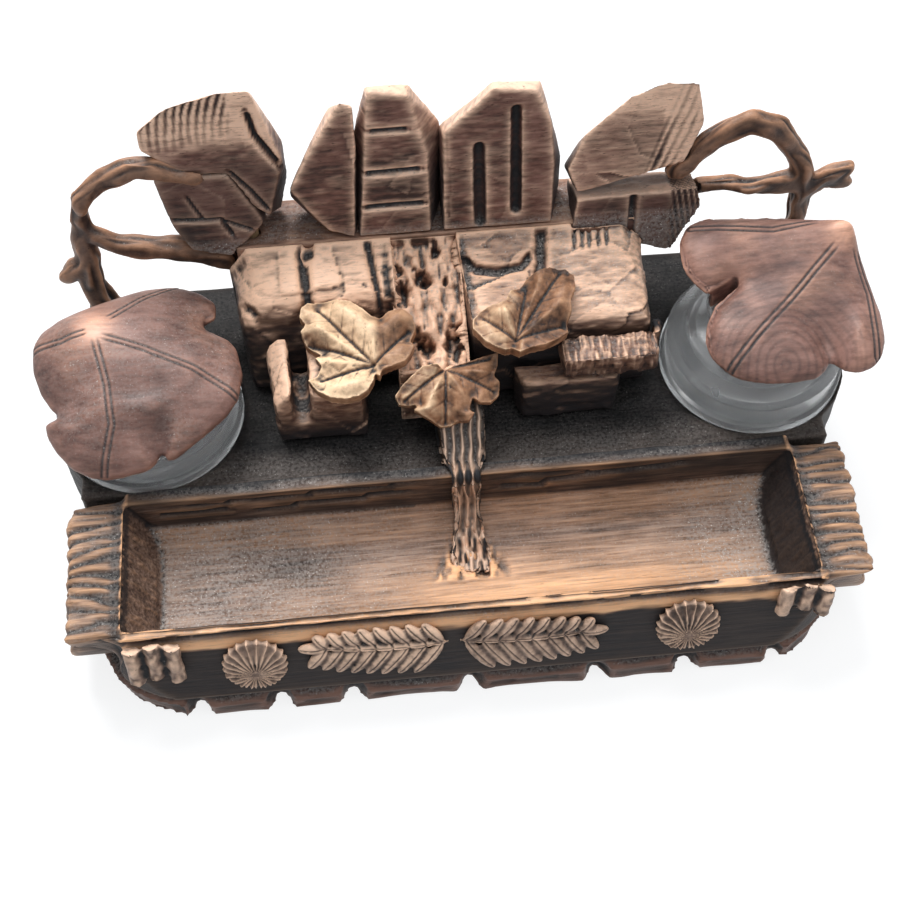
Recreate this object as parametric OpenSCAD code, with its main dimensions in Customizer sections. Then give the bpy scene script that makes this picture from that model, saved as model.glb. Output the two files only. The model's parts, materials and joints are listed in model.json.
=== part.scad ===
// Carved walnut desk inkstand: a rocky bank with a hollow log for pens, two glass wells and leaf lids.
// X runs along the pen trough to the right, Y to the back and Z up.
// The origin is the middle of the base board's underside. All sizes are in millimetres.

/* [Base board] */
// Length of the base board, end to end
base_l = 280; // [276:1:292]
// Depth of the base board, front to back
base_d = 170; // [164:1:180]
// Thickness of the base board
base_h = 14; // [11:0.5:18]
// Height of its lower, notched course
base_course_h = 8; // [6:0.5:9]
// Set-back of the upper course from the lower one
base_step = 3; // [1:0.5:5]
// Radius of the rounded front corners
base_corner_r = 42; // [30:1:46]
// Depth of the notches that split the front edge into stones
notch_d = 8; // [4:0.5:10]
// Width of each notch at the edge
notch_w = 11; // [6:0.5:14]

/* [Pen trough] */
// Length of the hollow log
trough_l = 290; // [276:1:300]
// Depth of the log at its rim, front to back
trough_d = 60; // [54:0.5:64]
// Height of the log
trough_h = 34; // [30:0.5:38]
// Thickness of its solid ends
trough_end = 24; // [20:0.5:30]
// Thickness of the wall at the back of the hollow
back_wall = 7; // [5:0.5:10]
// Thickness of the wall at the front of the hollow
front_wall = 4; // [3:0.5:6]
// Least wood under the pens
trough_floor = 7; // [5:0.5:9]
// Radius of the hollow's curved floor
hollow_r = 34; // [31:0.5:40]
// How far the front face runs out towards its foot
front_run = 10; // [6:0.5:12]
// Thickness of the worn lip along the front edge
lip_h = 4; // [3:0.5:6]
// Depth of the bark grooves across the ends
bark_d = 1.2; // [0.6:0.1:2]
// Bark grooves on each end
bark_count = 7; // [4:1:9]

/* [Deck] */
// Length of the deck block between its rounded ends
deck_l = 278; // [272:1:284]
// Thickness of the deck block
deck_h = 30; // [26:0.5:32]
// Depth of the turned recess under each well
recess_h = 2; // [1:0.5:4]
// Wood left round each recess
recess_rim = 1.2; // [1:0.2:3]

/* [Glass wells] */
// Distance from the middle to the left well's axis
well_left_out = 113; // [112:0.5:116]
// Distance from the middle to the right well's axis
well_right_out = 116.5; // [115:0.5:119]
// Gap between the log and the left well's foot
well_left_gap = 1; // [0.8:0.1:3]
// Gap between the log and the right well's foot
well_right_gap = 4; // [1:0.1:5]
// Radius of the foot of a well
well_foot_r = 34.8; // [32:0.2:35.4]
// Height of the foot band
well_foot_h = 5; // [3:0.5:7]
// Width of the ledge where the foot band ends
well_foot_step = 1.5; // [0.5:0.5:2.5]
// Height of a well
well_h = 34; // [30:0.5:38]
// Outer radius of the neck
neck_r = 18; // [17:0.5:21]
// Outer radius of the lip
lip_r = 20.5; // [19.5:0.5:24]
// Thickness of the lip
glass_lip_h = 3.5; // [2.5:0.5:5]
// Radius of the ink cavity
cavity_r = 24; // [20:0.5:28]
// Thickness of the glass under the ink
glass_floor = 6; // [4:0.5:8]
// Radius of the mouth
mouth_r = 14; // [12:0.5:15]

/* [Leaf lids] */
// Thickness of the leaf at its edge
lid_edge = 3.5; // [2.5:0.5:5]
// Length of the turned plug below a lid
plug_h = 9; // [6:0.5:12]
// Gap round the plug in the mouth
plug_gap = 0.4; // [0.3:0.1:0.8]
// Rise of the left leaf's peak above the glass
peak_left = 13; // [11:0.5:16]
// Rise of the right leaf's peak above the glass
peak_right = 25; // [22:0.5:28]

/* [Rocks] */
// Height of the rock ledges above the deck
ledge_h = 48; // [42:0.5:52]
// Depth of the core block behind the ledges
core_d = 23; // [20:0.5:26]
// Depth of the left ledge at its foot
ledge_left_d = 33; // [28:0.5:36]
// Depth of the right ledge at its foot
ledge_right_d = 43; // [38:0.5:46]
// Width of the spring gully between the ledges
gully_w = 24; // [18:0.5:30]
// Depth of the spring gully, back to front
gully_d = 46; // [44:0.5:48]
// Height of the left boulder
boulder_left_h = 30; // [24:0.5:34]
// Height of the right boulder
boulder_right_h = 21; // [16:0.5:24]
// Thickness of the ridged slab on the right boulder
slab_h = 14; // [11:0.5:16]
// Gap left between the rocks and the wells
rock_gap = 2.5; // [1.5:0.5:5]

/* [Crags] */
// Thickness of the crags at their feet
crag_d = 18; // [15:0.5:20]
// How far a crag's front face leans back, in millimetres a millimetre
crag_lean = 0.2; // [0.1:0.02:0.22]
// Width of the left middle crag
crag_mid_left_w = 31; // [27:0.5:32]
// Height of the left middle crag
crag_mid_left_h = 60; // [50:0.5:66]
// Width of the right middle crag
crag_mid_right_w = 44; // [38:0.5:45]
// Height of the right middle crag
crag_mid_right_h = 58; // [48:0.5:64]
// Width of the pointed crag beside the left middle one
crag_inner_w = 26; // [20:0.5:27]
// Height of the pointed crag
crag_inner_h = 57; // [46:0.5:62]
// Width of the lower left crag
crag_lower_left_w = 42; // [38:0.5:46]
// Height of the lower left crag
crag_lower_left_h = 39; // [36:0.5:42]
// Width of the upper left crag
crag_upper_left_w = 56; // [50:0.5:58]
// Height of the upper left crag above the ledges
crag_upper_left_h = 64; // [58:0.5:68]
// Width of the lower right crag
crag_lower_right_w = 50; // [44:0.5:52]
// Height of the lower right crag
crag_lower_right_h = 34; // [33:0.5:38]
// Width of the upper right crag
crag_upper_right_w = 51; // [44:0.5:54]
// Height of the upper right crag
crag_upper_right_h = 47; // [40:0.5:52]
// Radius of the dowels in the crags' feet
dowel_r = 2.5; // [1.5:0.5:3]
// Length of a dowel
dowel_l = 12; // [10:1:13]

/* [Branches] */
// Radius of a branch at its thickest
branch_r = 5; // [4:0.25:5.5]
// Gap between the right well and the branches' feet
branch_gap = 0.9; // [0.5:0.1:2]
// Distance from the deck's back edge to the branches' middle
branch_back = 14; // [12:0.5:16]

/* [Leaves and ornament] */
// Thickness of the vine leaves
leaf_t = 7; // [5:0.5:9]
// Radius of the left vine leaf
leaf_left_r = 22.5; // [18:0.5:24]
// Radius of the right vine leaf
leaf_right_r = 20.5; // [16:0.5:22]
// Radius of the vine leaf over the fall
leaf_mid_r = 20.5; // [16:0.5:22]
// Length of each fern frond
frond_l = 54; // [46:0.5:60]
// Longest leaflet of a frond
leaflet_l = 19; // [14:0.5:20]
// Leaflets on each side of a frond
leaflet_count = 8; // [6:1:9]
// Thickness of the fronds
frond_t = 4; // [3:0.5:5]
// Radius of the ribbed rosettes
rosette_r = 12; // [9:0.5:13]
// Ribs on each rosette
rosette_ribs = 18; // [12:1:24]
// Radius of the twig stubs
stub_r = 3.4; // [2.5:0.1:4]
// Width of the carved fall of water
fall_w = 19; // [14:0.5:22]

/* [Screws] */
// Radius of a screw's shank
screw_r = 2; // [1.5:0.25:2.5]
// Radius of a screw's countersunk head
screw_head_r = 4; // [3.5:0.25:5]
// Length of a screw
screw_l = 28; // [24:0.5:30]

/* [Hidden] */

$fn = 64;
eps = 0.01;

walnut = "#6e4125";
dark_walnut = "#3e261a";
worn_walnut = "#a4672f";
lid_walnut = "#6a3b2c";
clear_glass = "#c9d3d4";
steel = "#9a9a98";

front_margin = 10;
trough_front = -base_d / 2 + front_margin;
trough_back = trough_front + trough_d;
rim_z = base_h + trough_h;
deck_z = base_h + deck_h;
end_x = trough_l / 2 - trough_end;

recess_clear = 0.4;
well_left = [-well_left_out, trough_back + well_foot_r + well_left_gap];
well_right = [well_right_out, trough_back + well_foot_r + well_right_gap];
well_z = deck_z - recess_h;
mouth_z = well_z + well_h;

// The deck is as deep as the wells and the branches behind them need
branch_foot_r = 1.3 * branch_r;
branch_y = well_right.y + well_foot_r + branch_gap + branch_foot_r;
deck_back = branch_y + branch_back;
deck_d = deck_back - trough_back;

ledge_z = deck_z + ledge_h;
core_front = deck_back - core_d;
rock_x = (well_left_out + well_right_out) / 2 - well_foot_r - rock_gap;
gully_right = gully_w / 4;
gully_left = gully_right - gully_w;
crag_back = core_front + crag_d;

front_angle = atan(front_run / (trough_h - lip_h));

// Depth of the log's front face at height z
function front_y(z) = trough_front + 1 - front_run * (rim_z - lip_h - z) / (trough_h - lip_h);

// Puts a motif, drawn flat with +Y up, on the log's sloping front at x and height z
module on_front(x, z) {
    translate([x, front_y(z), z]) rotate([90 - front_angle, 0, 0]) children();
}

// Convex block through a list of points
module block(points) {
    hull() polyhedron(points, [[for (i = [0 : len(points) - 1]) i]]);
}

// Split stone of width w and height h, with its lower left corner at x and z. Its back and front
// outlines are shares of w and h, and its front face leans back from y_front by lean.
module stone(x, z, w, h, y_back, y_front, lean, back, front) {
    block(concat(
        [for (p = back) [x + w * p.x, y_back, z + h * p.y]],
        [for (p = front) [x + w * p.x, y_front + lean * h * p.y, z + h * p.y]]));
}

// Crag of width w and height h that stands z above the ledges and keeps the common lean
module crag(x, z, w, h, back, front) {
    stone(x, ledge_z + z, w, h, crag_back, core_front + crag_lean * z, crag_lean, back, front);
}

// Base board

// Shares of the board's half length
notch_places = [-0.721, -0.507, -0.329, -0.014, 0.307, 0.55, 0.786];

module base_outline(inset) {
    half = base_l / 2 - inset;
    front = base_d / 2 - inset;
    union() {
        for (side = [-1, 1]) {
            translate([side * (half - base_corner_r), base_corner_r - front]) circle(base_corner_r);
        }
        translate([-half, base_corner_r - front]) square([2 * half, 2 * front - base_corner_r]);
        translate([base_corner_r - half, -front]) square([2 * (half - base_corner_r), base_corner_r]);
    }
}

module front_notches() {
    for (place = notch_places) {
        translate([place * base_l / 2, -base_d / 2])
            polygon([[-notch_w / 2, -1], [notch_w / 2, -1], [0, notch_d]]);
    }
}

module screw_places() {
    for (well = [well_left, well_right]) {
        translate([well.x, well.y, 0]) children();
    }
    for (side = [-1, 1]) {
        translate([side * screw_x, (trough_front + trough_back) / 2, 0]) children();
        translate([side * rock_x / 2, (core_front + deck_back) / 2, 0]) children();
    }
}

head_h = screw_head_r - screw_r;
head_sink = 1;
screw_x = (end_x + base_l / 2) / 2 - 1;

module screw_hole() {
    translate([0, 0, -eps]) cylinder(h = head_sink + 2 * eps, r = screw_head_r);
    translate([0, 0, head_sink]) cylinder(h = head_h, r1 = screw_head_r, r2 = screw_r);
    cylinder(h = screw_l + head_sink, r = screw_r);
}

module base_board() {
    color(dark_walnut) difference() {
        union() {
            linear_extrude(base_course_h) difference() {
                base_outline(0);
                front_notches();
            }
            translate([0, 0, base_course_h - eps]) linear_extrude(base_h - base_course_h + eps)
                base_outline(base_step);
        }
        screw_places() screw_hole();
    }
}

module base_screws() {
    slot_w = 1;
    slot_d = 0.8;
    color(steel) screw_places() difference() {
        translate([0, 0, head_sink]) union() {
            cylinder(h = head_h, r1 = screw_head_r, r2 = screw_r);
            translate([0, 0, head_h - eps]) cylinder(h = screw_l - head_h + eps, r = screw_r);
        }
        translate([0, 0, head_sink]) cube([2 * screw_head_r + 1, slot_w, 2 * slot_d], center = true);
    }
}

// Pen trough

hollow_y = (trough_front + front_wall + trough_back - back_wall) / 2;
hollow_z = base_h + trough_floor + hollow_r;

module along_x(l) {
    translate([-l / 2, 0, 0]) rotate([90, 0, 90]) linear_extrude(l) children();
}

module trough_block() {
    lip_out = 1.5;
    undercut = 12;
    front_l = 2 * end_x + 12;
    union() {
        along_x(trough_l) polygon([
            [trough_back, base_h],
            [trough_back, rim_z],
            [trough_front, rim_z],
            [trough_front - lip_out, rim_z - lip_h / 2],
            [trough_front, rim_z - lip_h],
            [trough_front + undercut / 2, base_h + trough_h / 2],
            [trough_front + undercut, base_h]]);
        intersection() {
            along_x(front_l) polygon([
                [trough_back, base_h],
                [trough_back, rim_z - lip_h],
                [front_y(rim_z - lip_h), rim_z - lip_h],
                [front_y(base_h), base_h]]);
            linear_extrude(2 * rim_z) base_outline(0);
        }
    }
}

module trough_hollow() {
    along_x(2 * end_x) intersection() {
        translate([hollow_y, hollow_z]) circle(hollow_r, $fn = 96);
        translate([trough_front + front_wall, base_h])
            square([trough_d - front_wall - back_wall, 2 * trough_h]);
    }
}

module bark_grooves() {
    pitch = trough_d / (bark_count + 1);
    for (side = [-1, 1]) {
        for (i = [1 : bark_count]) {
            translate([side * (trough_l - trough_end) / 2, trough_front + i * pitch, rim_z])
                rotate([45, 0, 0]) cube([trough_end + 2, bark_d * sqrt(2), bark_d * sqrt(2)], center = true);
            translate([side * trough_l / 2, trough_front + i * pitch, rim_z - trough_h / 2])
                rotate([0, 0, 45]) cube([bark_d * sqrt(2), bark_d * sqrt(2), trough_h + 2], center = true);
        }
    }
}

module pen_trough() {
    color(walnut) difference() {
        trough_block();
        trough_hollow();
        bark_grooves();
        screw_places() screw_hole();
    }
}

// Deck block with its turned recesses

pad_r = well_foot_r + recess_clear + recess_rim;

module deck_body() {
    translate([0, 0, base_h]) linear_extrude(deck_h) intersection() {
        union() {
            translate([-deck_l / 2, trough_back]) square([deck_l, deck_d]);
            for (well = [well_left, well_right]) {
                translate(well) circle(pad_r);
            }
        }
        translate([-deck_l, trough_back]) square([2 * deck_l, deck_d]);
    }
}

module deck_block() {
    color(dark_walnut) difference() {
        deck_body();
        for (well = [well_left, well_right]) {
            translate([well.x, well.y, well_z]) cylinder(h = 2 * recess_h, r = well_foot_r + recess_clear);
        }
        screw_places() screw_hole();
    }
}

// Rocks that stand on the deck

core_inset = 3;
core_x = rock_x - core_inset;

module core_body() {
    translate([-core_x, core_front, deck_z]) cube([2 * core_x, core_d, ledge_h]);
}

module dowel_places() {
    for (x = [-core_x + 6, crag_mid_left_x - crag_inner_w / 3, crag_mid_left_x + crag_mid_left_w / 2,
              crag_mid_right_x + crag_mid_right_w / 2, core_x - 10]) {
        translate([x, core_front + crag_d * 0.45, ledge_z - dowel_l / 2]) children();
    }
}

module dowel() {
    cylinder(h = dowel_l, r = dowel_r);
}

module rock_core() {
    color(dark_walnut) difference() {
        core_body();
        dowel_places() dowel();
    }
}

module crag_dowels() {
    color(worn_walnut) dowel_places() dowel();
}

ledge_left_front = core_front - ledge_left_d;
ledge_right_front = core_front - ledge_right_d;

module ledge_left_body() {
    w = rock_x + 1 + gully_left;
    stone(-rock_x - 1, deck_z, w, ledge_h, core_front, ledge_left_front, 0.25,
        [[0, 0], [0, 0.78], [0.12, 1], [1, 1], [1, 0]],
        [[0.04, 0], [0.03, 0.68], [0.2, 0.88], [1, 0.9], [1, 0]]);
}

module ledge_left() {
    split_w = 3;
    split_d = 2.5;
    color(walnut) difference() {
        ledge_left_body();
        translate([-rock_x * 0.64, ledge_left_front, ledge_z - split_d])
            cube([split_w, ledge_left_d + 1, 2 * split_d]);
    }
}

module ledge_right_body() {
    w = rock_x - 1 - gully_right;
    stone(gully_right, deck_z, w, ledge_h, core_front, ledge_right_front, 0.1,
        [[0, 0], [0, 1], [0.87, 1], [1, 0.85], [1, 0]],
        [[0.02, 0], [0.02, 0.8], [0.94, 0.8], [1, 0.7], [1, 0]]);
}

module ledge_right() {
    step_h = 6;
    color(walnut) difference() {
        ledge_right_body();
        translate([gully_right - 1, ledge_right_front, ledge_z - step_h])
            cube([rock_x * 0.5, ledge_right_d * 0.75, 2 * step_h]);
        crag_lower_right_body();
    }
}

gully_front = core_front - gully_d;
gully_top = deck_z + 0.54 * ledge_h;

module gully_body() {
    translate([(gully_left + gully_right) / 2, 0, 0]) along_x(gully_w) polygon([
        [core_front, deck_z],
        [core_front, ledge_z - 2],
        [core_front - 0.75 * gully_d, gully_top + 6],
        [gully_front, gully_top],
        [gully_front - 3, deck_z]]);
}

module spring_gully() {
    hole_r = 2.2;
    hole_d = 9;
    slope = 20;
    color(walnut) difference() {
        gully_body();
        for (i = [0 : 5]) {
            across = i % 2 == 0 ? 0.32 : 0.68;
            back = core_front - 6 - 5.5 * i;
            translate([gully_left + gully_w * across, back, ledge_z - 2 - (core_front - back) * tan(slope)])
                rotate([slope, 0, 0]) translate([0, 0, -hole_d / 2]) cylinder(h = 2 * hole_d, r = hole_r);
        }
    }
}

// The boulders' fronts stand between the log's back wall and the ledges
boulder_left_front = trough_back + 0.385 * (ledge_left_front - trough_back);
slab_front = trough_back + 0.62 * (ledge_right_front - trough_back);

module boulder_left_body() {
    w = rock_x * 0.52;
    stone(8 - rock_x, deck_z, w, boulder_left_h, ledge_left_front + 10, boulder_left_front, 0.08,
        [[0, 0], [0, 0.8], [0.15, 1], [1, 1], [1, 0]],
        [[0.1, 0], [0.08, 0.72], [0.25, 0.96], [0.92, 0.94], [0.96, 0]]);
}

module boulder_left() {
    groove_w = 4;
    color(dark_walnut) difference() {
        boulder_left_body();
        ledge_left_body();
        translate([-rock_x * 0.74, boulder_left_front - 2, deck_z + boulder_left_h * 0.4])
            cube([groove_w, ledge_left_front - boulder_left_front + 14, boulder_left_h]);
    }
}

module boulder_right() {
    color(dark_walnut) difference() {
        stone(rock_x * 0.26, deck_z, rock_x * 0.58, boulder_right_h, ledge_right_front + 4,
            slab_front - 1, 0.1,
            [[0, 0], [0, 1], [1, 1], [1, 0]],
            [[0.1, 0], [0.12, 0.9], [0.2, 1], [0.9, 1], [0.94, 0.8], [0.9, 0]]);
        ledge_right_body();
    }
}

slab_w = rock_x * 0.51;

module slab_right_body() {
    stone(rock_x - slab_w, deck_z + boulder_right_h, slab_w, slab_h, ledge_right_front + 8,
        slab_front, 0.05,
        [[0, 0], [0, 1], [0.92, 1], [1, 0.8], [1, 0.2], [0.9, 0]],
        [[0.05, 0.1], [0.03, 0.9], [0.9, 0.92], [0.97, 0.75], [0.97, 0.25], [0.88, 0.05]]);
}

module slab_right() {
    groove_count = 7;
    groove_w = 1;
    color(worn_walnut) difference() {
        slab_right_body();
        ledge_right_body();
        for (i = [1 : groove_count]) {
            translate([rock_x - slab_w + i * slab_w / (groove_count + 2), slab_front - 3,
                       deck_z + boulder_right_h + slab_h])
                rotate([0, 45, 0]) translate([-groove_w / 2, 0, -groove_w / 2])
                cube([groove_w, ledge_right_front - slab_front + 11, groove_w]);
        }
    }
}

// Crags along the back

crag_split_x = 2;
crag_crevice = 1;
crag_mid_left_x = crag_split_x - crag_mid_left_w;
crag_mid_right_x = crag_split_x + crag_crevice;
crag_inner_x = crag_mid_left_x - crag_crevice - crag_inner_w;
crag_left_gap = 4.45;
crag_lower_left_x = crag_inner_x - crag_left_gap - crag_lower_left_w;
crag_right_gap = 1.45;
crag_lower_right_x = crag_mid_right_x + crag_mid_right_w + crag_right_gap;
crag_lower_right_z = -22;
crag_lower_right_step = 1;

module crag_mid_left() {
    cut_h = 1.2;
    cut_d = 2;
    color(walnut) difference() {
        crag(crag_mid_left_x, 0, crag_mid_left_w, crag_mid_left_h,
            [[0, 0], [0, 0.5], [0.21, 0.96], [0.67, 0.96], [1, 0.64], [1, 0]],
            [[0.03, 0], [0.18, 0.41], [0.24, 1], [0.64, 0.96], [0.82, 0.54], [0.82, 0]]);
        for (share = [0.2, 0.44, 0.72]) {
            z = share * crag_mid_left_h;
            translate([crag_mid_left_x, core_front + crag_lean * z - 8, ledge_z + z])
                cube([crag_mid_left_w, 8 + cut_d, cut_h]);
        }
        dowel_places() dowel();
    }
}

module crag_mid_right() {
    slot_w = 3;
    slot_d = 3;
    color(walnut) difference() {
        crag(crag_mid_right_x, 0, crag_mid_right_w, crag_mid_right_h,
            [[0, 0], [0, 0.63], [0.4, 0.96], [0.79, 0.94], [1, 0.3], [1, 0]],
            [[0, 0], [0.02, 0.72], [0.39, 1], [0.74, 0.97], [0.86, 0.76], [0.9, 0.44], [0.88, 0]]);
        for (cut = [[0.28, 0.02, 0.62], [0.58, 0.1, 0.78]]) {
            translate([crag_mid_right_x + cut.x * crag_mid_right_w, core_front, ledge_z])
                rotate([-atan(crag_lean), 0, 0])
                translate([-slot_w / 2, -8, cut.y * crag_mid_right_h])
                cube([slot_w, 8 + slot_d, cut.z * crag_mid_right_h]);
        }
        dowel_places() dowel();
    }
}

module crag_inner_left() {
    color(walnut) difference() {
        crag(crag_inner_x, 0, crag_inner_w, crag_inner_h,
            [[0.08, 0.1], [0.7, 0.86], [1, 0.86], [1, 0], [0.45, 0]],
            [[0.12, 0.41], [0.64, 0.84], [0.84, 1], [1, 0.96], [1, 0.68], [0.9, 0], [0.6, 0.06]]);
        dowel_places() dowel();
    }
}

module crag_lower_left_body() {
    crag(crag_lower_left_x, -6, crag_lower_left_w, crag_lower_left_h,
        [[0.02, 0.67], [0.79, 1], [1, 0.36], [0.88, 0], [0.31, 0.05], [0.12, 0.31]],
        [[0.07, 0.97], [0.69, 0.95], [0.95, 0.41], [0.62, 0.05], [0.29, 0.15], [0.17, 0.41]]);
}

module crag_lower_left() {
    color(walnut) difference() {
        crag_lower_left_body();
        core_body();
        ledge_left_body();
        dowel_places() dowel();
    }
}

module crag_upper_left_body() {
    crag(crag_lower_left_x - 3, 0, crag_upper_left_w, crag_upper_left_h,
        [[0.06, 0.57], [0.07, 0.7], [0.3, 0.83], [0.57, 0.92], [0.78, 0.92], [0.94, 0.55], [0.94, 0.27],
         [0.87, 0], [0.7, 0]],
        [[0.06, 0.8], [0.26, 0.93], [0.59, 1], [0.78, 1], [0.93, 0.55], [0.81, 0.2], [0.57, 0.53],
         [0.3, 0.58], [0.06, 0.68]]);
}

module crag_upper_left() {
    color(walnut) difference() {
        crag_upper_left_body();
        crag_lower_left_body();
    }
}

module crag_lower_right_body() {
    y_front = core_front + crag_lean * crag_lower_right_z - crag_lower_right_step;
    stone(crag_lower_right_x, ledge_z + crag_lower_right_z, crag_lower_right_w, crag_lower_right_h,
        crag_back, y_front, crag_lean,
        [[0.02, 0.79], [0.96, 0.79], [0.88, 0.37], [0.48, 0.37], [0.02, 0.53]],
        [[0.04, 0.97], [0.94, 1], [0.98, 0.74], [0.78, 0.16], [0.44, 0.32], [0, 0.53]]);
}

module crag_lower_right() {
    color(walnut) difference() {
        crag_lower_right_body();
        core_body();
        dowel_places() dowel();
    }
}

module crag_upper_right_body() {
    crag(crag_lower_right_x - 2, crag_lower_right_z + crag_lower_right_h - 3, crag_upper_right_w,
        crag_upper_right_h,
        [[0.02, 0.05], [0.12, 0.3], [0.43, 0.63], [0.69, 0.74], [0.92, 0.7], [0.98, 0.3], [0.92, 0]],
        [[0, 0.3], [0.12, 0.6], [0.43, 0.9], [0.67, 1], [0.9, 0.96], [0.96, 0.63], [0.84, 0.28],
         [0.08, 0.07]]);
}

module crag_upper_right() {
    color(walnut) difference() {
        crag_upper_right_body();
        crag_lower_right_body();
    }
}

// Gnarled branches that arch out beyond the crags

// Tapering limb through points, each a share of the rocks' half width, a share of the ledges' height
// above the deck and a share of the branch's radius
module limb(points) {
    for (i = [0 : len(points) - 2]) {
        hull() {
            for (p = [points[i], points[i + 1]]) {
                translate([p[0] * rock_x, branch_y, deck_z + p[1] * ledge_h])
                    sphere(branch_r * p[2], $fn = 10);
            }
        }
    }
}

module branch_foot(share) {
    translate([share * rock_x, branch_y, deck_z]) cylinder(h = 10, r1 = branch_foot_r, r2 = branch_r * 0.8);
}

module above_deck() {
    translate([-base_l, 0, deck_z]) cube([2 * base_l, base_d, 4 * ledge_h]);
}

module branch_left() {
    color(dark_walnut) difference() {
        intersection() {
            union() {
                limb([[-1.085, 1.646, 1], [-1.343, 1.729, 0.95], [-1.498, 1.667, 0.85],
                      [-1.627, 1.479, 0.8], [-1.666, 1.25, 0.8], [-1.666, 0.958, 0.9],
                      [-1.691, 0.667, 1], [-1.679, 0.333, 1], [-1.64, 0.083, 1.1]]);
                limb([[-1.666, 1.125, 0.8], [-1.511, 0.979, 0.8], [-1.278, 0.875, 1],
                      [-0.981, 0.667, 1]]);
                limb([[-1.679, 0.625, 0.9], [-1.756, 0.708, 0.85], [-1.808, 0.625, 0.8]]);
                branch_foot(-1.64);
            }
            above_deck();
        }
        crag_lower_left_body();
        crag_upper_left_body();
        core_body();
    }
}

module branch_right() {
    color(dark_walnut) difference() {
        intersection() {
            union() {
                limb([[1.136, 1.292, 1.1], [1.252, 1.5, 1.1], [1.369, 1.708, 1],
                      [1.446, 1.771, 0.9], [1.562, 1.688, 0.9], [1.666, 1.5, 0.85],
                      [1.743, 1.25, 0.9], [1.782, 1.021, 0.9], [1.782, 0.625, 0.9],
                      [1.73, 0.083, 1.1]]);
                limb([[1.136, 1.062, 0.8], [1.446, 1.062, 0.75], [1.756, 1.062, 0.8]]);
                limb([[1.782, 0.958, 0.9], [1.885, 1.104, 0.8], [1.975, 1.146, 0.6]]);
                limb([[1.885, 1.104, 0.7], [2.001, 1, 0.6]]);
                branch_foot(1.73);
            }
            above_deck();
        }
        crag_lower_right_body();
        crag_upper_right_body();
        core_body();
    }
}

// Fall of water from the gully over the log's back wall

module water_fall() {
    strand_count = 3;
    x0 = (gully_left + gully_right) / 2 + 8;
    color(worn_walnut) difference() {
        translate([x0, 0, 0]) along_x(fall_w) polygon([
            [gully_front + 3, deck_z - 4],
            [gully_front + 3, gully_top - 4],
            [trough_back + 0.35 * (gully_front - trough_back), deck_z + 17],
            [trough_back - 4, rim_z + 3],
            [trough_back - back_wall - 3, rim_z - 2],
            [trough_back - back_wall - 5, rim_z - 14],
            [trough_back - back_wall - 12, base_h + trough_floor + 5],
            [hollow_y, base_h + trough_floor + 2.5],
            [hollow_y, base_h + trough_floor - 3],
            [trough_back, base_h + trough_floor - 3]]);
        difference() {
            trough_block();
            trough_hollow();
        }
        deck_body();
        gully_body();
        vine_leaf_middle_body();
        for (i = [1 : strand_count]) {
            translate([x0 - fall_w / 2 + i * fall_w / (strand_count + 1), 0, 0])
                rotate([0, 45, 0]) cube([1, 3 * trough_d, 1], center = true);
        }
    }
}

// Vine leaves

// Edge radius of a five-lobed, toothed leaf at angle a, as a share of its radius
function leaf_edge(a) = 0.62 + 0.3 * pow(abs(cos(2.5 * (a - 90))), 1.4) + 0.08 * pow(abs(sin(11 * a)), 2);

// Point of a leaf at radius r and angle a, turned by turn and narrowed front to back to a share
function leaf_point(r, a, turn, share) = [r * cos(a + turn), share * r * sin(a + turn)];

module vine_leaf(r, turn, share) {
    steps = 90;
    vein_h = 0.8;
    vein_w = 1.2;
    linear_extrude(leaf_t) polygon([for (i = [0 : steps - 1]) let (a = 360 * i / steps)
        leaf_point(r * leaf_edge(a), a, turn, share)]);
    for (a = [18 : 72 : 306]) {
        tip = leaf_point(0.75 * r, a, turn, share);
        rotate(atan2(tip.y, tip.x)) translate([0, -vein_w / 2, leaf_t - eps])
            cube([norm(tip), vein_w, vein_h + eps]);
    }
}

module vine_leaf_left_body() {
    translate([-33.5, ledge_left_front - 6, deck_z + boulder_left_h + 0.6]) rotate([14, 0, 0])
        vine_leaf(leaf_left_r, 150, 0.87);
}

module vine_leaf_left() {
    color(worn_walnut) difference() {
        vine_leaf_left_body();
        boulder_left_body();
        ledge_left_body();
        gully_body();
    }
}

module vine_leaf_right() {
    color(worn_walnut) difference() {
        translate([27, ledge_right_front + 9, ledge_z - 9]) rotate([14, 0, 0])
            vine_leaf(leaf_right_r, 200, 0.84);
        ledge_right_body();
        gully_body();
        slab_right_body();
    }
}

module vine_leaf_middle_body() {
    translate([-2, gully_front - 7, gully_top - 4]) rotate([27, 0, 0]) vine_leaf(leaf_mid_r, -90, 0.78);
}

module vine_leaf_middle() {
    color(worn_walnut) difference() {
        vine_leaf_middle_body();
        gully_body();
        boulder_left_body();
        vine_leaf_left_body();
    }
}

// Fern fronds, rosettes and twig stubs on the log's front

// Pointed leaflet of length l, from the origin along +X
module leaflet(l) {
    w = l * 0.36;
    r = (l * l / 4 + w * w / 4) / w;
    intersection() {
        translate([l / 2, r - w / 2]) circle(r);
        translate([l / 2, w / 2 - r]) circle(r);
    }
}

// Frond along +X, with its longer leaflets below
module frond() {
    pitch = frond_l * 0.86 / leaflet_count;
    stem_r = 1.4;
    rib_w = 1.4;
    rib_h = 0.8;
    linear_extrude(frond_t) union() {
        translate([0, -stem_r]) square([frond_l * 0.9, 2 * stem_r]);
        for (i = [0 : leaflet_count - 1]) {
            l = leaflet_l * (1 - 0.45 * pow(i / leaflet_count, 2));
            translate([pitch * (i + 0.3), 0]) rotate(-55) leaflet(l);
            translate([pitch * (i + 0.3), 0]) rotate(50) leaflet(0.65 * l);
        }
        translate([frond_l * 0.8, 0]) leaflet(frond_l * 0.2);
    }
    translate([2, -rib_w / 2, frond_t - eps]) cube([frond_l * 0.9 - 2, rib_w, rib_h + eps]);
}

frond_z = base_h + trough_h * 0.54;
frond_left_x = -10;
frond_right_x = -6;

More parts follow.
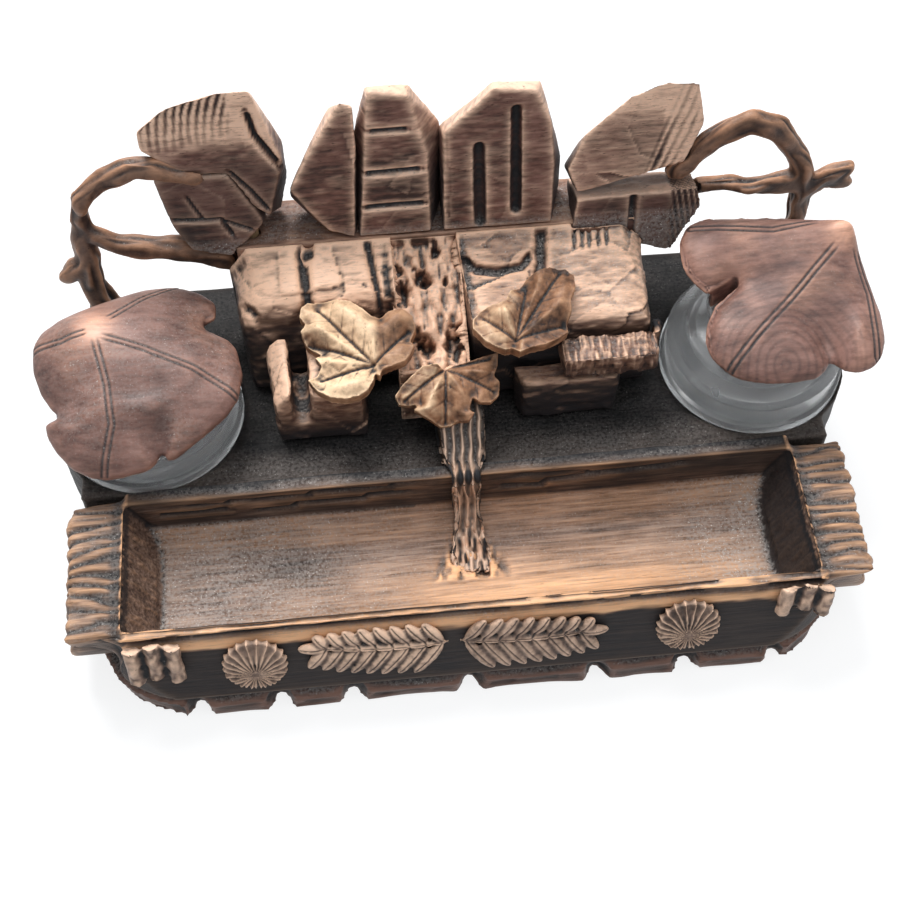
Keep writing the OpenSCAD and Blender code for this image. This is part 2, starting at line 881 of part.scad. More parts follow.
module frond_left() {
    color(walnut) on_front(frond_left_x, frond_z) rotate(-3) mirror([1, 0, 0]) frond();
}

module frond_right() {
    color(walnut) on_front(frond_right_x, frond_z) rotate(-1) frond();
}

module rosette() {
    rib_h = 1.2;
    disc_t = 3.5;
    cylinder(h = disc_t, r = rosette_r);
    for (i = [0 : rosette_ribs - 1]) {
        rotate(i * 360 / rosette_ribs) translate([1.5, -0.6, disc_t - eps])
            cube([rosette_r - 1.6, 1.2, rib_h + eps]);
    }
}

rosette_z = base_h + trough_h * 0.48;
rosette_left_gap = 2;
rosette_left_x = frond_left_x - frond_l - rosette_left_gap - rosette_r;
rosette_right_gap = 15;
rosette_right_x = frond_right_x + frond_l + rosette_right_gap + rosette_r;

module rosette_left() {
    color(walnut) on_front(rosette_left_x, rosette_z) rosette();
}

module rosette_right() {
    color(walnut) on_front(rosette_right_x, rosette_z) rosette();
}

module twig_stubs(count, length) {
    for (i = [0 : count - 1]) {
        translate([(i - (count - 1) / 2) * stub_r * 2.1, (i % 2) * 2, stub_r * 0.8]) rotate([90, 0, 0])
            cylinder(h = length, r = stub_r, center = true, $fn = 24);
    }
    translate([-count * stub_r, -length / 4, -1]) cube([2 * count * stub_r, length / 2, stub_r + 1]);
}

stub_z = base_h + trough_h * 0.62;

module twig_stubs_left() {
    color(worn_walnut) difference() {
        on_front(-0.8 * base_l / 2, stub_z) twig_stubs(3, 5 * stub_r);
        trough_block();
    }
}

module twig_stubs_right() {
    color(walnut) difference() {
        on_front(0.829 * base_l / 2, stub_z + 3) rotate(-8) twig_stubs(3, 3.8 * stub_r);
        trough_block();
    }
}

// Glass wells

well_body_r = well_foot_r - well_foot_step;
well_shoulder_z = well_h * 0.42;
well_neck_z = well_h - glass_lip_h - 4;
well_dome_r = (well_body_r + neck_r) / 2 + 1;

module well() {
    color(clear_glass) rotate_extrude($fn = 96) polygon([
        [0, 0],
        [well_foot_r - 1, 0],
        [well_foot_r, 1],
        [well_foot_r, well_foot_h],
        [well_body_r, well_foot_h + 0.5],
        [well_body_r, well_shoulder_z],
        [well_body_r - 2.5, well_shoulder_z + 4],
        [well_dome_r, well_neck_z - 4],
        [neck_r + 1, well_neck_z - 0.5],
        [neck_r, well_neck_z + 1],
        [neck_r, well_h - glass_lip_h],
        [lip_r, well_h - glass_lip_h + 0.8],
        [lip_r, well_h - 0.8],
        [lip_r - 0.8, well_h],
        [mouth_r + 0.8, well_h],
        [mouth_r, well_h - 0.8],
        [mouth_r, well_neck_z],
        [cavity_r - 2, well_neck_z - 8],
        [cavity_r, well_neck_z - 11],
        [cavity_r, glass_floor + 2],
        [cavity_r - 2, glass_floor],
        [0, glass_floor]]);
}

module on_well(place, z) {
    translate([place.x, place.y, z]) children();
}

module glass_well_left() {
    on_well(well_left, well_z) well();
}

module glass_well_right() {
    on_well(well_right, well_z) well();
}

// Leaf lids, drawn from the middle of the glass lip's top face

// Space that the glass and its neck need under a leaf
module well_clearance() {
    gap = 1;
    translate([0, 0, -well_h]) rotate_extrude($fn = 40) polygon([
        [0, 0],
        [well_foot_r + gap, 0],
        [well_foot_r + gap, well_shoulder_z + gap],
        [well_dome_r + gap, well_neck_z - 4 + gap],
        [lip_r + gap, well_neck_z + gap],
        [lip_r + gap, well_h],
        [0, well_h]]);
}

// One lobe of a peaked leaf, that falls from the peak along an angle and curves down to a rounded
// tip. Its reach and its tip's radius are shares of the well's foot, its tip's height of the well's.
module lobe(peak, angle, reach, tip, drop) {
    peak_r = 3;
    bulge = 1.5;
    r = tip * well_foot_r;
    out = reach * well_foot_r - r;
    top_z = peak.z - lid_edge;
    tip_z = drop * well_h;
    mid_z = (top_z + tip_z) / 2 + bulge;
    translate([peak.x, peak.y, 0]) rotate(angle) {
        hull() {
            translate([0, 0, top_z]) cylinder(h = lid_edge, r = peak_r, $fn = 16);
            translate([out / 2, 0, mid_z]) cylinder(h = lid_edge, r = (r + peak_r) / 2, $fn = 24);
        }
        hull() {
            translate([out / 2, 0, mid_z]) cylinder(h = lid_edge, r = (r + peak_r) / 2, $fn = 24);
            translate([out, 0, tip_z]) cylinder(h = lid_edge, r = r, $fn = 24);
        }
    }
}

// Leaf of four lobes, each an angle, a reach, a tip and a drop, on a boss that rests on the glass.
// Its peak stands at shares of the foot's radius from the middle of the well.
module leaf_lid(place, peak_h, lobes) {
    peak = [place.x * well_foot_r, place.y * well_foot_r, peak_h];
    boss_h = peak_h * 0.55;
    difference() {
        union() {
            for (l = lobes) {
                lobe(peak, l[0], l[1], l[2], l[3]);
            }
            cylinder(h = boss_h, r = lip_r, $fn = 40);
        }
        well_clearance();
    }
}

module lid_left() {
    color(lid_walnut) on_well(well_left, mouth_z) leaf_lid([-0.287, 0.144], peak_left,
        [[-25, 1.466, 0.69, -0.118], [-96, 1.322, 0.603, -0.412],
         [165, 0.833, 0.603, -0.059], [50, 1.092, 0.632, -0.147]]);
}

module lid_right() {
    color(lid_walnut) on_well(well_right, mouth_z) leaf_lid([0.862, 0.431], peak_right,
        [[-136, 1.868, 0.69, 0.059], [178, 1.667, 0.46, 0.353],
         [-94, 1.351, 0.431, -0.088], [50, 0.345, 0.23, 0.176]]);
}

module lid_plug() {
    bore_r = mouth_r - plug_gap;
    color(dark_walnut) translate([0, 0, -plug_h]) union() {
        cylinder(h = 1.01, r1 = bore_r - 1, r2 = bore_r);
        translate([0, 0, 1]) cylinder(h = plug_h - 1, r = bore_r);
    }
}

module lid_plug_left() {
    on_well(well_left, mouth_z) lid_plug();
}

module lid_plug_right() {
    on_well(well_right, mouth_z) lid_plug();
}

base_board();
base_screws();
pen_trough();
deck_block();
rock_core();
ledge_left();
ledge_right();
spring_gully();
boulder_left();
boulder_right();
slab_right();
crag_mid_left();
crag_mid_right();
crag_inner_left();
crag_lower_left();
crag_upper_left();
crag_lower_right();
crag_upper_right();
crag_dowels();
branch_left();
branch_right();
water_fall();
vine_leaf_left();
vine_leaf_right();
vine_leaf_middle();
frond_left();
frond_right();
rosette_left();
rosette_right();
twig_stubs_left();
twig_stubs_right();
glass_well_left();
glass_well_right();
lid_left();
lid_right();
lid_plug_left();
lid_plug_right();
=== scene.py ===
# Looks of a walnut desk inkstand, carved as a rocky bank behind a hollow log for pens, with two
# glass wells under leaf lids. In metres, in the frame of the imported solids: X right, Y back, Z up.

import json
import math

import bmesh
import bpy
import numpy as np
from mathutils import Matrix, Vector

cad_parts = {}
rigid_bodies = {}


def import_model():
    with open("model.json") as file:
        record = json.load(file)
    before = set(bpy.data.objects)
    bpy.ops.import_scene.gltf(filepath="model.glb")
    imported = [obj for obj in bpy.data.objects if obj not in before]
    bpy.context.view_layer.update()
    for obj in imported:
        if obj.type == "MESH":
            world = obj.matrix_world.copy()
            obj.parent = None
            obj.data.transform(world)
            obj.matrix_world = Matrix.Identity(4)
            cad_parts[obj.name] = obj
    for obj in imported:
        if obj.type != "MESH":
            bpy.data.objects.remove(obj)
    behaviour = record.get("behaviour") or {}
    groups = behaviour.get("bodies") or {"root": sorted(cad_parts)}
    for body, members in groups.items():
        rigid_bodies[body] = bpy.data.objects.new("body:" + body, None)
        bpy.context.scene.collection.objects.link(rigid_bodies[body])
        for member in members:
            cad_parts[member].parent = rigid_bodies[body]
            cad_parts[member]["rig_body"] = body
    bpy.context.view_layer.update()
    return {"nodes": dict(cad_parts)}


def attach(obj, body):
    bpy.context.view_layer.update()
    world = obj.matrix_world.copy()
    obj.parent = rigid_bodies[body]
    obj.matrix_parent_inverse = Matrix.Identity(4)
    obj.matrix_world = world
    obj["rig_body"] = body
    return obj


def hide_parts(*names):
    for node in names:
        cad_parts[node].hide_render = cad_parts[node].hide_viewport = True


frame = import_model()
MM = 0.001

# View of the stand
# It stands on a pale table and is looked down on from the front, a little left of its middle.

# Degrees round the stand, up from the table and about the line of sight
view_turn, view_rise, view_roll = -4.75, 57.1, -0.88
view_distance = 0.536
view_target = Vector((-0.0028, -0.011, 0.050))
# The lens's focal length as a share of the picture's width
view_focal = 1464 / 900

turned = (Matrix.Rotation(math.radians(view_turn), 4, "Z")
          @ Matrix.Rotation(math.radians(90 - view_rise), 4, "X")
          @ Matrix.Rotation(math.radians(view_roll), 4, "Z"))
camera = bpy.data.objects.new("camera", bpy.data.cameras.new("camera"))
camera.data.sensor_width = 36
camera.data.lens = view_focal * camera.data.sensor_width
camera.data.clip_start = 0.02
camera.matrix_world = Matrix.Translation(view_target + turned.col[2].xyz * view_distance) @ turned
bpy.context.collection.objects.link(camera)
bpy.context.scene.camera = camera
bpy.context.scene.view_settings.view_transform = "Standard"

# Studio
# Soft daylight comes from above and behind, with a weaker fill from the front. The stand
# is lit plainly, and what looks past it, or through its glass, sees white.


def soft_lamp(name, place, aim, size, power):
    lamp = bpy.data.lights.new(name, "AREA")
    lamp.size = size
    lamp.energy = power
    holder = bpy.data.objects.new(name, lamp)
    holder.location = place
    holder.rotation_euler = (Vector(aim) - Vector(place)).to_track_quat("-Z", "Y").to_euler()
    bpy.context.collection.objects.link(holder)


def add(tree, kind, links=(), **values):
    """A shader node with its settings, plain values and links."""
    made = tree.nodes.new(kind)
    for name, value in values.items():
        setattr(made, name, value)
    for socket, source in dict(links).items():
        if isinstance(source, bpy.types.NodeSocket):
            tree.links.new(source, made.inputs[socket])
        else:
            made.inputs[socket].default_value = source
    return made


def show(tree, lighting, seen, end):
    """Lights the stand with one shader, and shows another to the camera, in glass and in gloss."""
    path = tree.nodes.new("ShaderNodeLightPath")
    total = path.outputs["Is Camera Ray"]
    for ray in ("Is Glossy Ray", "Is Transmission Ray"):
        either = add(tree, "ShaderNodeMath", {0: total, 1: path.outputs[ray]}, operation="MAXIMUM")
        total = either.outputs[0]
    choice = add(tree, "ShaderNodeMixShader", {0: total, 1: lighting.outputs[0], 2: seen.outputs[0]})
    add(tree, end, {0: choice.outputs[0]})


stand_middle = (0, 0, 0.05)
soft_lamp("window", (-0.2, 0.6, 1.2), stand_middle, 0.6, 18.0)
soft_lamp("ceiling", (0.3, -0.3, 1.3), stand_middle, 1.0, 5.0)

world = bpy.data.worlds.new("studio")
bpy.context.scene.world = world
world.use_nodes = True
tree = world.node_tree
tree.nodes.clear()
day = add(tree, "ShaderNodeBackground", {"Color": (0.8, 0.9, 1.0, 1), "Strength": 0.4})
white = add(tree, "ShaderNodeBackground", {"Color": (1, 1, 1, 1), "Strength": 1.0})
show(tree, day, white, "ShaderNodeOutputWorld")

bm = bmesh.new()
bmesh.ops.create_grid(bm, x_segments=1, y_segments=1, size=4)
floor_mesh = bpy.data.meshes.new("floor")
bm.to_mesh(floor_mesh)
bm.free()
floor = bpy.data.objects.new("floor", floor_mesh)
bpy.context.collection.objects.link(floor)

paper = bpy.data.materials.new("white_paper")
paper.use_nodes = True
tree = paper.node_tree
tree.nodes.clear()
plain = add(tree, "ShaderNodeBsdfDiffuse", {"Color": (0.7, 0.7, 0.7, 1)})
shaded = add(tree, "ShaderNodeBsdfDiffuse", {"Color": (0.3, 0.3, 0.3, 1)})
glow = add(tree, "ShaderNodeEmission", {"Strength": 0.8})
white = add(tree, "ShaderNodeAddShader", {0: shaded.outputs[0], 1: glow.outputs[0]})
show(tree, plain, white, "ShaderNodeOutputMaterial")
floor_mesh.materials.append(paper)

# Base board
# A dark walnut board cut into notched stones along its front. The carver's marks, the finish and
# the wear of the wood are defined here, because it is the first piece of the stand.


def new_piece(name, bm, body):
    mesh = bpy.data.meshes.new(name)
    bm.to_mesh(mesh)
    bm.free()
    piece = bpy.data.objects.new(name, mesh)
    bpy.context.collection.objects.link(piece)
    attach(piece, body)
    return piece


def evenly(piece, cell):
    """Gives a closed shape one even skin, in cells of that many millimetres."""
    cells = piece.modifiers.new("cells", "REMESH")
    cells.mode = "VOXEL"
    cells.voxel_size = cell * MM
    seen = piece.evaluated_get(bpy.context.evaluated_depsgraph_get())
    rough, piece.data = piece.data, bpy.data.meshes.new_from_object(seen)
    piece.modifiers.clear()
    bpy.data.meshes.remove(rough)
    piece.data.name = piece.name
    piece.data.polygons.foreach_set("use_smooth", np.ones(len(piece.data.polygons), bool))


def carved_copy(node, cell, undrilled=False):
    """A closed copy of a solid that stands for it, ready for the carver's marks."""
    bm = bmesh.new()
    bm.from_mesh(frame["nodes"][node].data)
    bmesh.ops.remove_doubles(bm, verts=bm.verts, dist=1e-6)
    if undrilled:
        kept = set(bmesh.ops.convex_hull(bm, input=bm.verts)["geom"])
        bmesh.ops.delete(bm, geom=[f for f in bm.faces if f not in kept], context="FACES_ONLY")
        bmesh.ops.delete(bm, geom=[v for v in bm.verts if not v.link_faces], context="VERTS")
    piece = new_piece(node + "_carved", bm, frame["nodes"][node]["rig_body"])
    evenly(piece, cell)
    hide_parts(node)
    return piece


def surface(piece):
    """Points in millimetres and normals of a piece."""
    count = len(piece.data.vertices)
    points, normals = np.empty(count * 3), np.empty(count * 3)
    piece.data.vertices.foreach_get("co", points)
    piece.data.vertices.foreach_get("normal", normals)
    return points.reshape(-1, 3) / MM, normals.reshape(-1, 3)


def move_to(piece, points):
    piece.data.vertices.foreach_set("co", (points * MM).ravel())
    piece.data.update()


def held(share):
    """The share, kept from 0 to 1."""
    return np.clip(share, 0, 1)


def ramp(value, start, end):
    """How far a value has gone from start to end, as a share from 0 to 1."""
    return held((value - start) / (end - start))


def chance(i, j, k, seed):
    """A fixed random share for each whole-numbered place, whose bits large odd numbers scatter."""
    h = i * 73856093 ^ j * 19349663 ^ k * 83492791 ^ (seed + 7) * 668265263
    h = (h ^ (h >> 13)) * 1274126177 & 0xFFFFFFFF
    h = (h ^ (h >> 15)) * 2246822519 & 0xFFFFFFFF
    return ((h ^ (h >> 16)) & 0xFFFFFF) / 0xFFFFFF


def swell(p, size, seed=0, octaves=1):
    """Smooth unevenness from 0 to 1 whose humps are size millimetres long, in all or each direction."""
    total, weight = 0.0, 0.0
    for octave in range(octaves):
        q = p * 2 ** octave / np.array(size)
        low = np.floor(q).astype(np.int64)
        t = q - low
        t = t * t * (3 - 2 * t)
        value = 0.0
        for corner in np.ndindex(2, 2, 2):
            share = np.prod(np.where(corner, t, 1 - t), axis=1)
            value = value + share * chance(*(low + corner).T, seed + 31 * octave)
        total = total + value / 2 ** octave
        weight += 1 / 2 ** octave
    return total / weight


def chips(p, size, seed=0):
    """Flat, tilted chips that a gouge leaves, size millimetres across, from 0 to 1."""
    q = p / np.array(size)
    low = np.floor(q).astype(np.int64)
    best = np.full(len(p), 9.0)
    tone = np.zeros(len(p))
    for step in np.ndindex(3, 3, 3):
        cell = low + step - 1
        site = np.stack([chance(*cell.T, seed + s) for s in (1, 2, 3)], axis=1)
        lean = np.stack([chance(*cell.T, seed + s) for s in (4, 5, 6)], axis=1) - 0.5
        away = q - cell - site
        d = np.einsum("ij,ij->i", away, away)
        nearer = d < best
        leaning = 1.4 * np.einsum("ij,ij->i", away, lean)
        tone = np.where(nearer, chance(*cell.T, seed + 7) + leaning, tone)
        best = np.where(nearer, d, best)
    return held(0.5 * tone + 0.25)


def line(q, points):
    """Distance of flat points from a line through points, and their share of the way along it."""
    best, share = np.full(len(q), 1e9), np.zeros(len(q))
    legs = list(zip(np.array(points[:-1], float), np.array(points[1:], float)))
    for i, (a, b) in enumerate(legs):
        t = held((q - a) @ (b - a) / ((b - a) @ (b - a)))
        d = np.linalg.norm(q - a - t[:, None] * (b - a), axis=1)
        share = np.where(d < best, (i + t) / len(legs), share)
        best = np.minimum(d, best)
    return best, share


def score(q, points, width, depth):
    """A cut of that width and depth along a line, fading at both ends."""
    d, share = line(q, points)
    return -depth * held(1.4 - 2 * d / width) * np.clip(12 * np.minimum(share, 1 - share), 0.25, 1)


def carve(piece, marks):
    """Sinks or raises the surface by marks(points, normals), all in millimetres."""
    p, n = surface(piece)
    move_to(piece, p + n * marks(p, n)[:, None])


def averaged(piece, p, rounds):
    """The points, each moved to the middle of its neighbours that many times."""
    edges = np.empty(len(piece.data.edges) * 2, np.int32)
    piece.data.edges.foreach_get("vertices", edges)
    a, b = edges.reshape(-1, 2).T
    count = np.bincount(a, minlength=len(p)) + np.bincount(b, minlength=len(p))
    for _ in range(rounds):
        p = np.stack([(np.bincount(a, p[b, i], len(p)) + np.bincount(b, p[a, i], len(p))) / count
                      for i in range(3)], axis=1)
    return p


def soften(piece, rounds, where=lambda p: 1.0):
    """Rounds the edges, fully or to a share at each point."""
    p, _ = surface(piece)
    move_to(piece, p + (averaged(piece, p, rounds) - p) * np.reshape(where(p), (-1, 1)))


def warp(piece, reach, size, seed):
    """Sets the whole shape off true by hand, up to reach millimetres, within its own bounds."""
    p, _ = surface(piece)
    off = np.stack([swell(p, size, seed + i, 2) - 0.5 for i in range(3)], axis=1)
    move_to(piece, np.clip(p + 2 * reach * off, p.min(axis=0), p.max(axis=0)))


def weather(piece, edge=0.5, hollow=0.5, dust=0.4, rubbed=0.0, seed=0, extra=None):
    """Marks where hands have worn the edges and tops, where dirt has gathered and where dust lies; a
    piece's extra may add painted light to the wear and painted shade to the dirt.
    """
    p, n = surface(piece)
    # How far each point stands out from what is next to it, and from what lies further round it
    fine = np.einsum("ij,ij->i", p - averaged(piece, p, 4), n)
    broad = np.einsum("ij,ij->i", p - averaged(piece, p, 24), n)
    patchy = swell(p, 9, seed, 3)
    blotchy = swell(p, 25, seed + 5, 2)
    up = ramp(n[:, 2], 0.25, 0.75)
    wear = (3.2 * fine + 0.9 * broad) * edge + 0.3 * (patchy - 0.6) + rubbed * up * (0.3 + 1.1 * blotchy)
    dirt = (-3.0 * fine - 0.9 * broad) * hollow + 0.2 * (0.5 - patchy)
    settled = held(0.1 + patchy - 1.5 * fine - 0.3 * broad)
    lying = ramp(n[:, 2], 0.35, 0.95) * settled * dust
    if extra:
        wear, dirt, lying = extra(p, n, wear, dirt, lying)
    # The wear mark also carries painted light, and the dirt mark painted shade, where a piece's extra adds
    # them
    for name, value in (("wear", wear), ("dirt", dirt), ("dust", lying)):
        place = piece.data.attributes.new(name, "FLOAT", "POINT")
        place.data.foreach_set("value", held(value).astype(np.float32))


def mixed(tree, factor, a, b):
    return add(tree, "ShaderNodeMix", {0: factor, 6: a, 7: b}, data_type="RGBA").outputs[2]


def worked(tree, way, a, b=0.0, c=0.0, clamp=False):
    return add(tree, "ShaderNodeMath", {0: a, 1: b, 2: c}, operation=way, use_clamp=clamp).outputs[0]


def noise(tree, where, scale, detail, roughness=0.5):
    return add(tree, "ShaderNodeTexNoise", {"Vector": where, "Scale": scale, "Detail": detail,
                                            "Roughness": roughness}).outputs["Fac"]


def group(name, inputs, outputs):
    """An empty shader node group with named sockets, and its two ends."""
    tree = bpy.data.node_groups.new(name, "ShaderNodeTree")
    for label, kind, value in inputs:
        socket = tree.interface.new_socket(name=label, in_out="INPUT", socket_type="NodeSocket" + kind)
        if value is not None:
            socket.default_value = value
    for label, kind in outputs:
        tree.interface.new_socket(name=label, in_out="OUTPUT", socket_type="NodeSocket" + kind)
    return tree, tree.nodes.new("NodeGroupInput").outputs, tree.nodes.new("NodeGroupOutput").inputs


def new_finish(name, settings):
    """A material, its node tree, its shader with those settings, and the places on its piece."""
    material = bpy.data.materials.new(name)
    material.use_nodes = True
    tree = material.node_tree
    shader = tree.nodes["Principled BSDF"]
    for label, value in settings.items():
        shader.inputs[label].default_value = value
    return material, tree, shader, add(tree, "ShaderNodeTexCoord").outputs["Object"]


# The Worn colour also shows painted light, and the Grime colour painted shade, where the marks carry them
walnut_group, given, result = group(
    "Walnut",
    [("Along Grain", "Vector", None), ("Place", "Vector", None),
     ("Dark", "Color", (0.02, 0.012, 0.01, 1)), ("Mid", "Color", (0.09, 0.05, 0.04, 1)),
     ("Light", "Color", (0.2, 0.12, 0.09, 1)), ("Worn", "Color", (0.4, 0.22, 0.14, 1)),
     ("Grime", "Color", (0.009, 0.009, 0.011, 1)), ("Lint", "Color", (0.42, 0.38, 0.35, 1)),
     ("Speck", "Color", (0.75, 0.71, 0.66, 1)),
     ("Wear", "Float", 0.0), ("Dirt", "Float", 0.0), ("Dust", "Float", 0.0),
     ("Figure", "Float", 0.5), ("Cracks", "Float", 0.5)],
    [("Color", "Color"), ("Roughness", "Float"), ("Height", "Float")])
tree = walnut_group
# The bare wood has three tones, from streaks along the grain and from patches
streaks = noise(tree, given["Along Grain"], 1.0, 5.0, 0.62)
pores = noise(tree, given["Along Grain"], 3.7, 3.0, 0.7)
patches = noise(tree, given["Place"], 42.0, 4.0, 0.6)
grit = noise(tree, given["Place"], 900.0, 2.0, 0.6)
tone = worked(tree, "MULTIPLY", patches, worked(tree, "SUBTRACT", 1.0, given["Figure"]))
tone = worked(tree, "MULTIPLY_ADD", streaks, given["Figure"], tone)
tone = add(tree, "ShaderNodeMapRange", {"Value": tone, "From Min": 0.39, "From Max": 0.61}).outputs[0]
bare = mixed(tree, worked(tree, "MULTIPLY", tone, 2.0, clamp=True), given["Dark"], given["Mid"])
bare = mixed(tree, worked(tree, "MULTIPLY_ADD", tone, 2.0, -1.0, clamp=True), bare, given["Light"])
# Open pores stay dark in it, and worn places and painted light show another colour
open_to = worked(tree, "MULTIPLY_ADD", given["Cracks"], 1.2, 3.7)
pitted = worked(tree, "MULTIPLY_ADD", pores, -12.0, open_to, clamp=True)
rubbed = worked(tree, "MULTIPLY_ADD", streaks, 2.2, -0.1)
rubbed = worked(tree, "MULTIPLY", given["Wear"], rubbed, clamp=True)
handled_and_lit = mixed(tree, rubbed, bare, given["Worn"])
handled_and_lit = mixed(tree, worked(tree, "MULTIPLY", pitted, 0.8), handled_and_lit, given["Dark"])
# Dirt and painted shade cover the wood, and lint and pale flecks lie on both
grimy_and_shaded = mixed(tree, given["Dirt"], handled_and_lit, given["Grime"])
settled = worked(tree, "MULTIPLY_ADD", grit, 4.0, -1.4, clamp=True)
settled = worked(tree, "MULTIPLY", given["Dust"], settled, clamp=True)
dusty = mixed(tree, settled, grimy_and_shaded, given["Lint"])
flecks = noise(tree, given["Place"], 1500.0, 1.0)
flecks = worked(tree, "MULTIPLY_ADD", flecks, 16.0, -10.9, clamp=True)
flecks = worked(tree, "MULTIPLY", flecks, worked(tree, "MULTIPLY", given["Dust"], 1.6), clamp=True)
tree.links.new(mixed(tree, flecks, dusty, given["Speck"]), result["Color"])
rough = worked(tree, "MULTIPLY_ADD", settled, 0.4, 0.48)
rough = worked(tree, "MULTIPLY_ADD", given["Dirt"], 0.2, rough)
tree.links.new(worked(tree, "MULTIPLY_ADD", rubbed, -0.1, rough, clamp=True), result["Roughness"])
height = worked(tree, "MULTIPLY_ADD", pitted, -0.6, streaks)
tree.links.new(worked(tree, "MULTIPLY_ADD", settled, 0.35, height), result["Height"])


def walnut(name, dark, mid, light, pale_tone, grain=(70, 900, 900), figure=0.5, cracks=0.3,
           relief=0.0004, gloss=0.3):
    """A walnut finish. grain gives the streaks per metre in each direction, and colours are linear."""
    material, tree, shader, places = new_finish(name, {"Specular IOR Level": gloss})
    along = add(tree, "ShaderNodeMapping", {"Vector": places, "Scale": grain})
    wood = tree.nodes.new("ShaderNodeGroup")
    wood.node_tree = walnut_group
    tree.links.new(along.outputs[0], wood.inputs["Along Grain"])
    tree.links.new(places, wood.inputs["Place"])
    for label in ("Wear", "Dirt", "Dust"):
        mark = add(tree, "ShaderNodeAttribute", attribute_name=label.lower())
        tree.links.new(mark.outputs["Fac"], wood.inputs[label])
    for label, colour in (("Dark", dark), ("Mid", mid), ("Light", light), ("Worn", pale_tone)):
        wood.inputs[label].default_value = (*colour, 1)
    wood.inputs["Figure"].default_value = figure
    wood.inputs["Cracks"].default_value = cracks
    bump = add(tree, "ShaderNodeBump",
               {"Height": wood.outputs["Height"], "Distance": relief, "Strength": 1.0})
    tree.links.new(wood.outputs["Color"], shader.inputs["Base Color"])
    tree.links.new(wood.outputs["Roughness"], shader.inputs["Roughness"])
    tree.links.new(bump.outputs[0], shader.inputs["Normal"])
    return material


def finished(piece, material):
    piece.data.materials.clear()
    piece.data.materials.append(material)


base_finish = walnut("base_walnut", (0.01, 0.006, 0.005), (0.036, 0.017, 0.013), (0.075, 0.036, 0.026),
                     (0.2, 0.1, 0.07))
base = carved_copy("base_board", 1.5)
warp(base, 1.6, (24, 12, 9), 2)


def base_marks(p, n):
    side = held(1 - 1.4 * np.abs(n[:, 2]))
    return (-side * (1.3 * chips(p, (18, 9, 8), 3) + 0.6 * swell(p, (10, 4, 3), 5, 2))
            - held(n[:, 2]) * 0.5 * swell(p, (12, 5, 5), 6, 2))


carve(base, base_marks)
weather(base, edge=0.4, hollow=0.5, dust=0.5, rubbed=0.2, seed=1)
finished(base, base_finish)

# Screws under the board
# Six steel wood screws with countersunk, slotted heads hold the log and the wells' deck from below.

steel, tree, shader, places = new_finish("dull_steel", {"Metallic": 1.0})
tarnish = noise(tree, places, 700.0, 4.0)
tarnished, bright = (0.22, 0.2, 0.19, 1), (0.55, 0.54, 0.52, 1)
tree.links.new(mixed(tree, tarnish, tarnished, bright), shader.inputs["Base Color"])
tree.links.new(worked(tree, "MULTIPLY_ADD", tarnish, 0.4, 0.25), shader.inputs["Roughness"])
frame["nodes"]["base_screws"].data.materials[0] = steel

# Pen trough
# A log of walnut, hollowed with a round-nosed gouge, with bark ridges on its solid ends and a thin
# worn lip along its front. The hollow's back wall has split along the grain in steps.

log_finish = walnut("log_walnut", (0.05, 0.028, 0.02), (0.2, 0.12, 0.085), (0.4, 0.27, 0.2),
                    (0.95, 0.52, 0.27), grain=(45, 800, 800), figure=0.6)
# Half the hollow's length, its front and back faces, and a height below its floor
hollow_half, hollow_front, hollow_back, hollow_low = 122, -71.6, -21.6, 18
# Where the bark of the solid ends starts, and the rough edge of their butts
bark_start, butt_start = hollow_half - 1, 141
# The face of the thin front lip, and the foot of the hollow's back wall
lip_face, wall_foot = -70.5, -36
# Splits in the back wall, as places along X and Z
wall_cracks = [[(-116, 44), (-86, 42), (-84, 43.5), (-56, 42), (-54, 44), (-26, 43), (-24, 45), (-9, 45)],
               [(-82, 35.5), (-62, 35.5), (-60, 37.5), (-36, 37), (-34, 39), (-12, 39.5)],
               [(-112, 38), (-84, 38.5)],
               [(12, 45), (46, 43), (48, 41.5), (70, 42.5), (88, 44)],
               [(12, 38.5), (30, 37), (32, 39.5), (56, 40.5)]]
log = carved_copy("pen_trough", 0.95)
soften(log, 60, lambda p: ramp(np.abs(p[:, 0]), hollow_half, hollow_half + 3) * ramp(p[:, 2], 24, 30))


def in_hollow(p):
    x, y, z = p.T
    return (np.abs(x) < hollow_half) & (y > hollow_front) & (y < hollow_back) & (z > hollow_low)


# The feet of the hollow's end walls come in by 9 mm, so that the walls lean
p, _ = surface(log)
leaning = ramp(p[:, 2], 46, 26) * ramp(np.abs(p[:, 0]), 80, 120) * in_hollow(p)
p[:, 0] -= 9 * leaning * np.sign(p[:, 0])
move_to(log, p)


def on_end_wall(p, n):
    return in_hollow(p) & (np.abs(n[:, 0]) > 0.45)


def splash(p):
    """Share of the carved chips that spread on the floor below the fall."""
    x, y, _ = p.T
    fan = held((7 - 0.5 * (y + 30) - np.abs(x - 2)) / 4)
    return fan * ramp(y, -29, -33) * ramp(y, -50, -46) * in_hollow(p)


def splash_chips(p):
    return swell(p, (2.2, 5, 5), 24, 2)


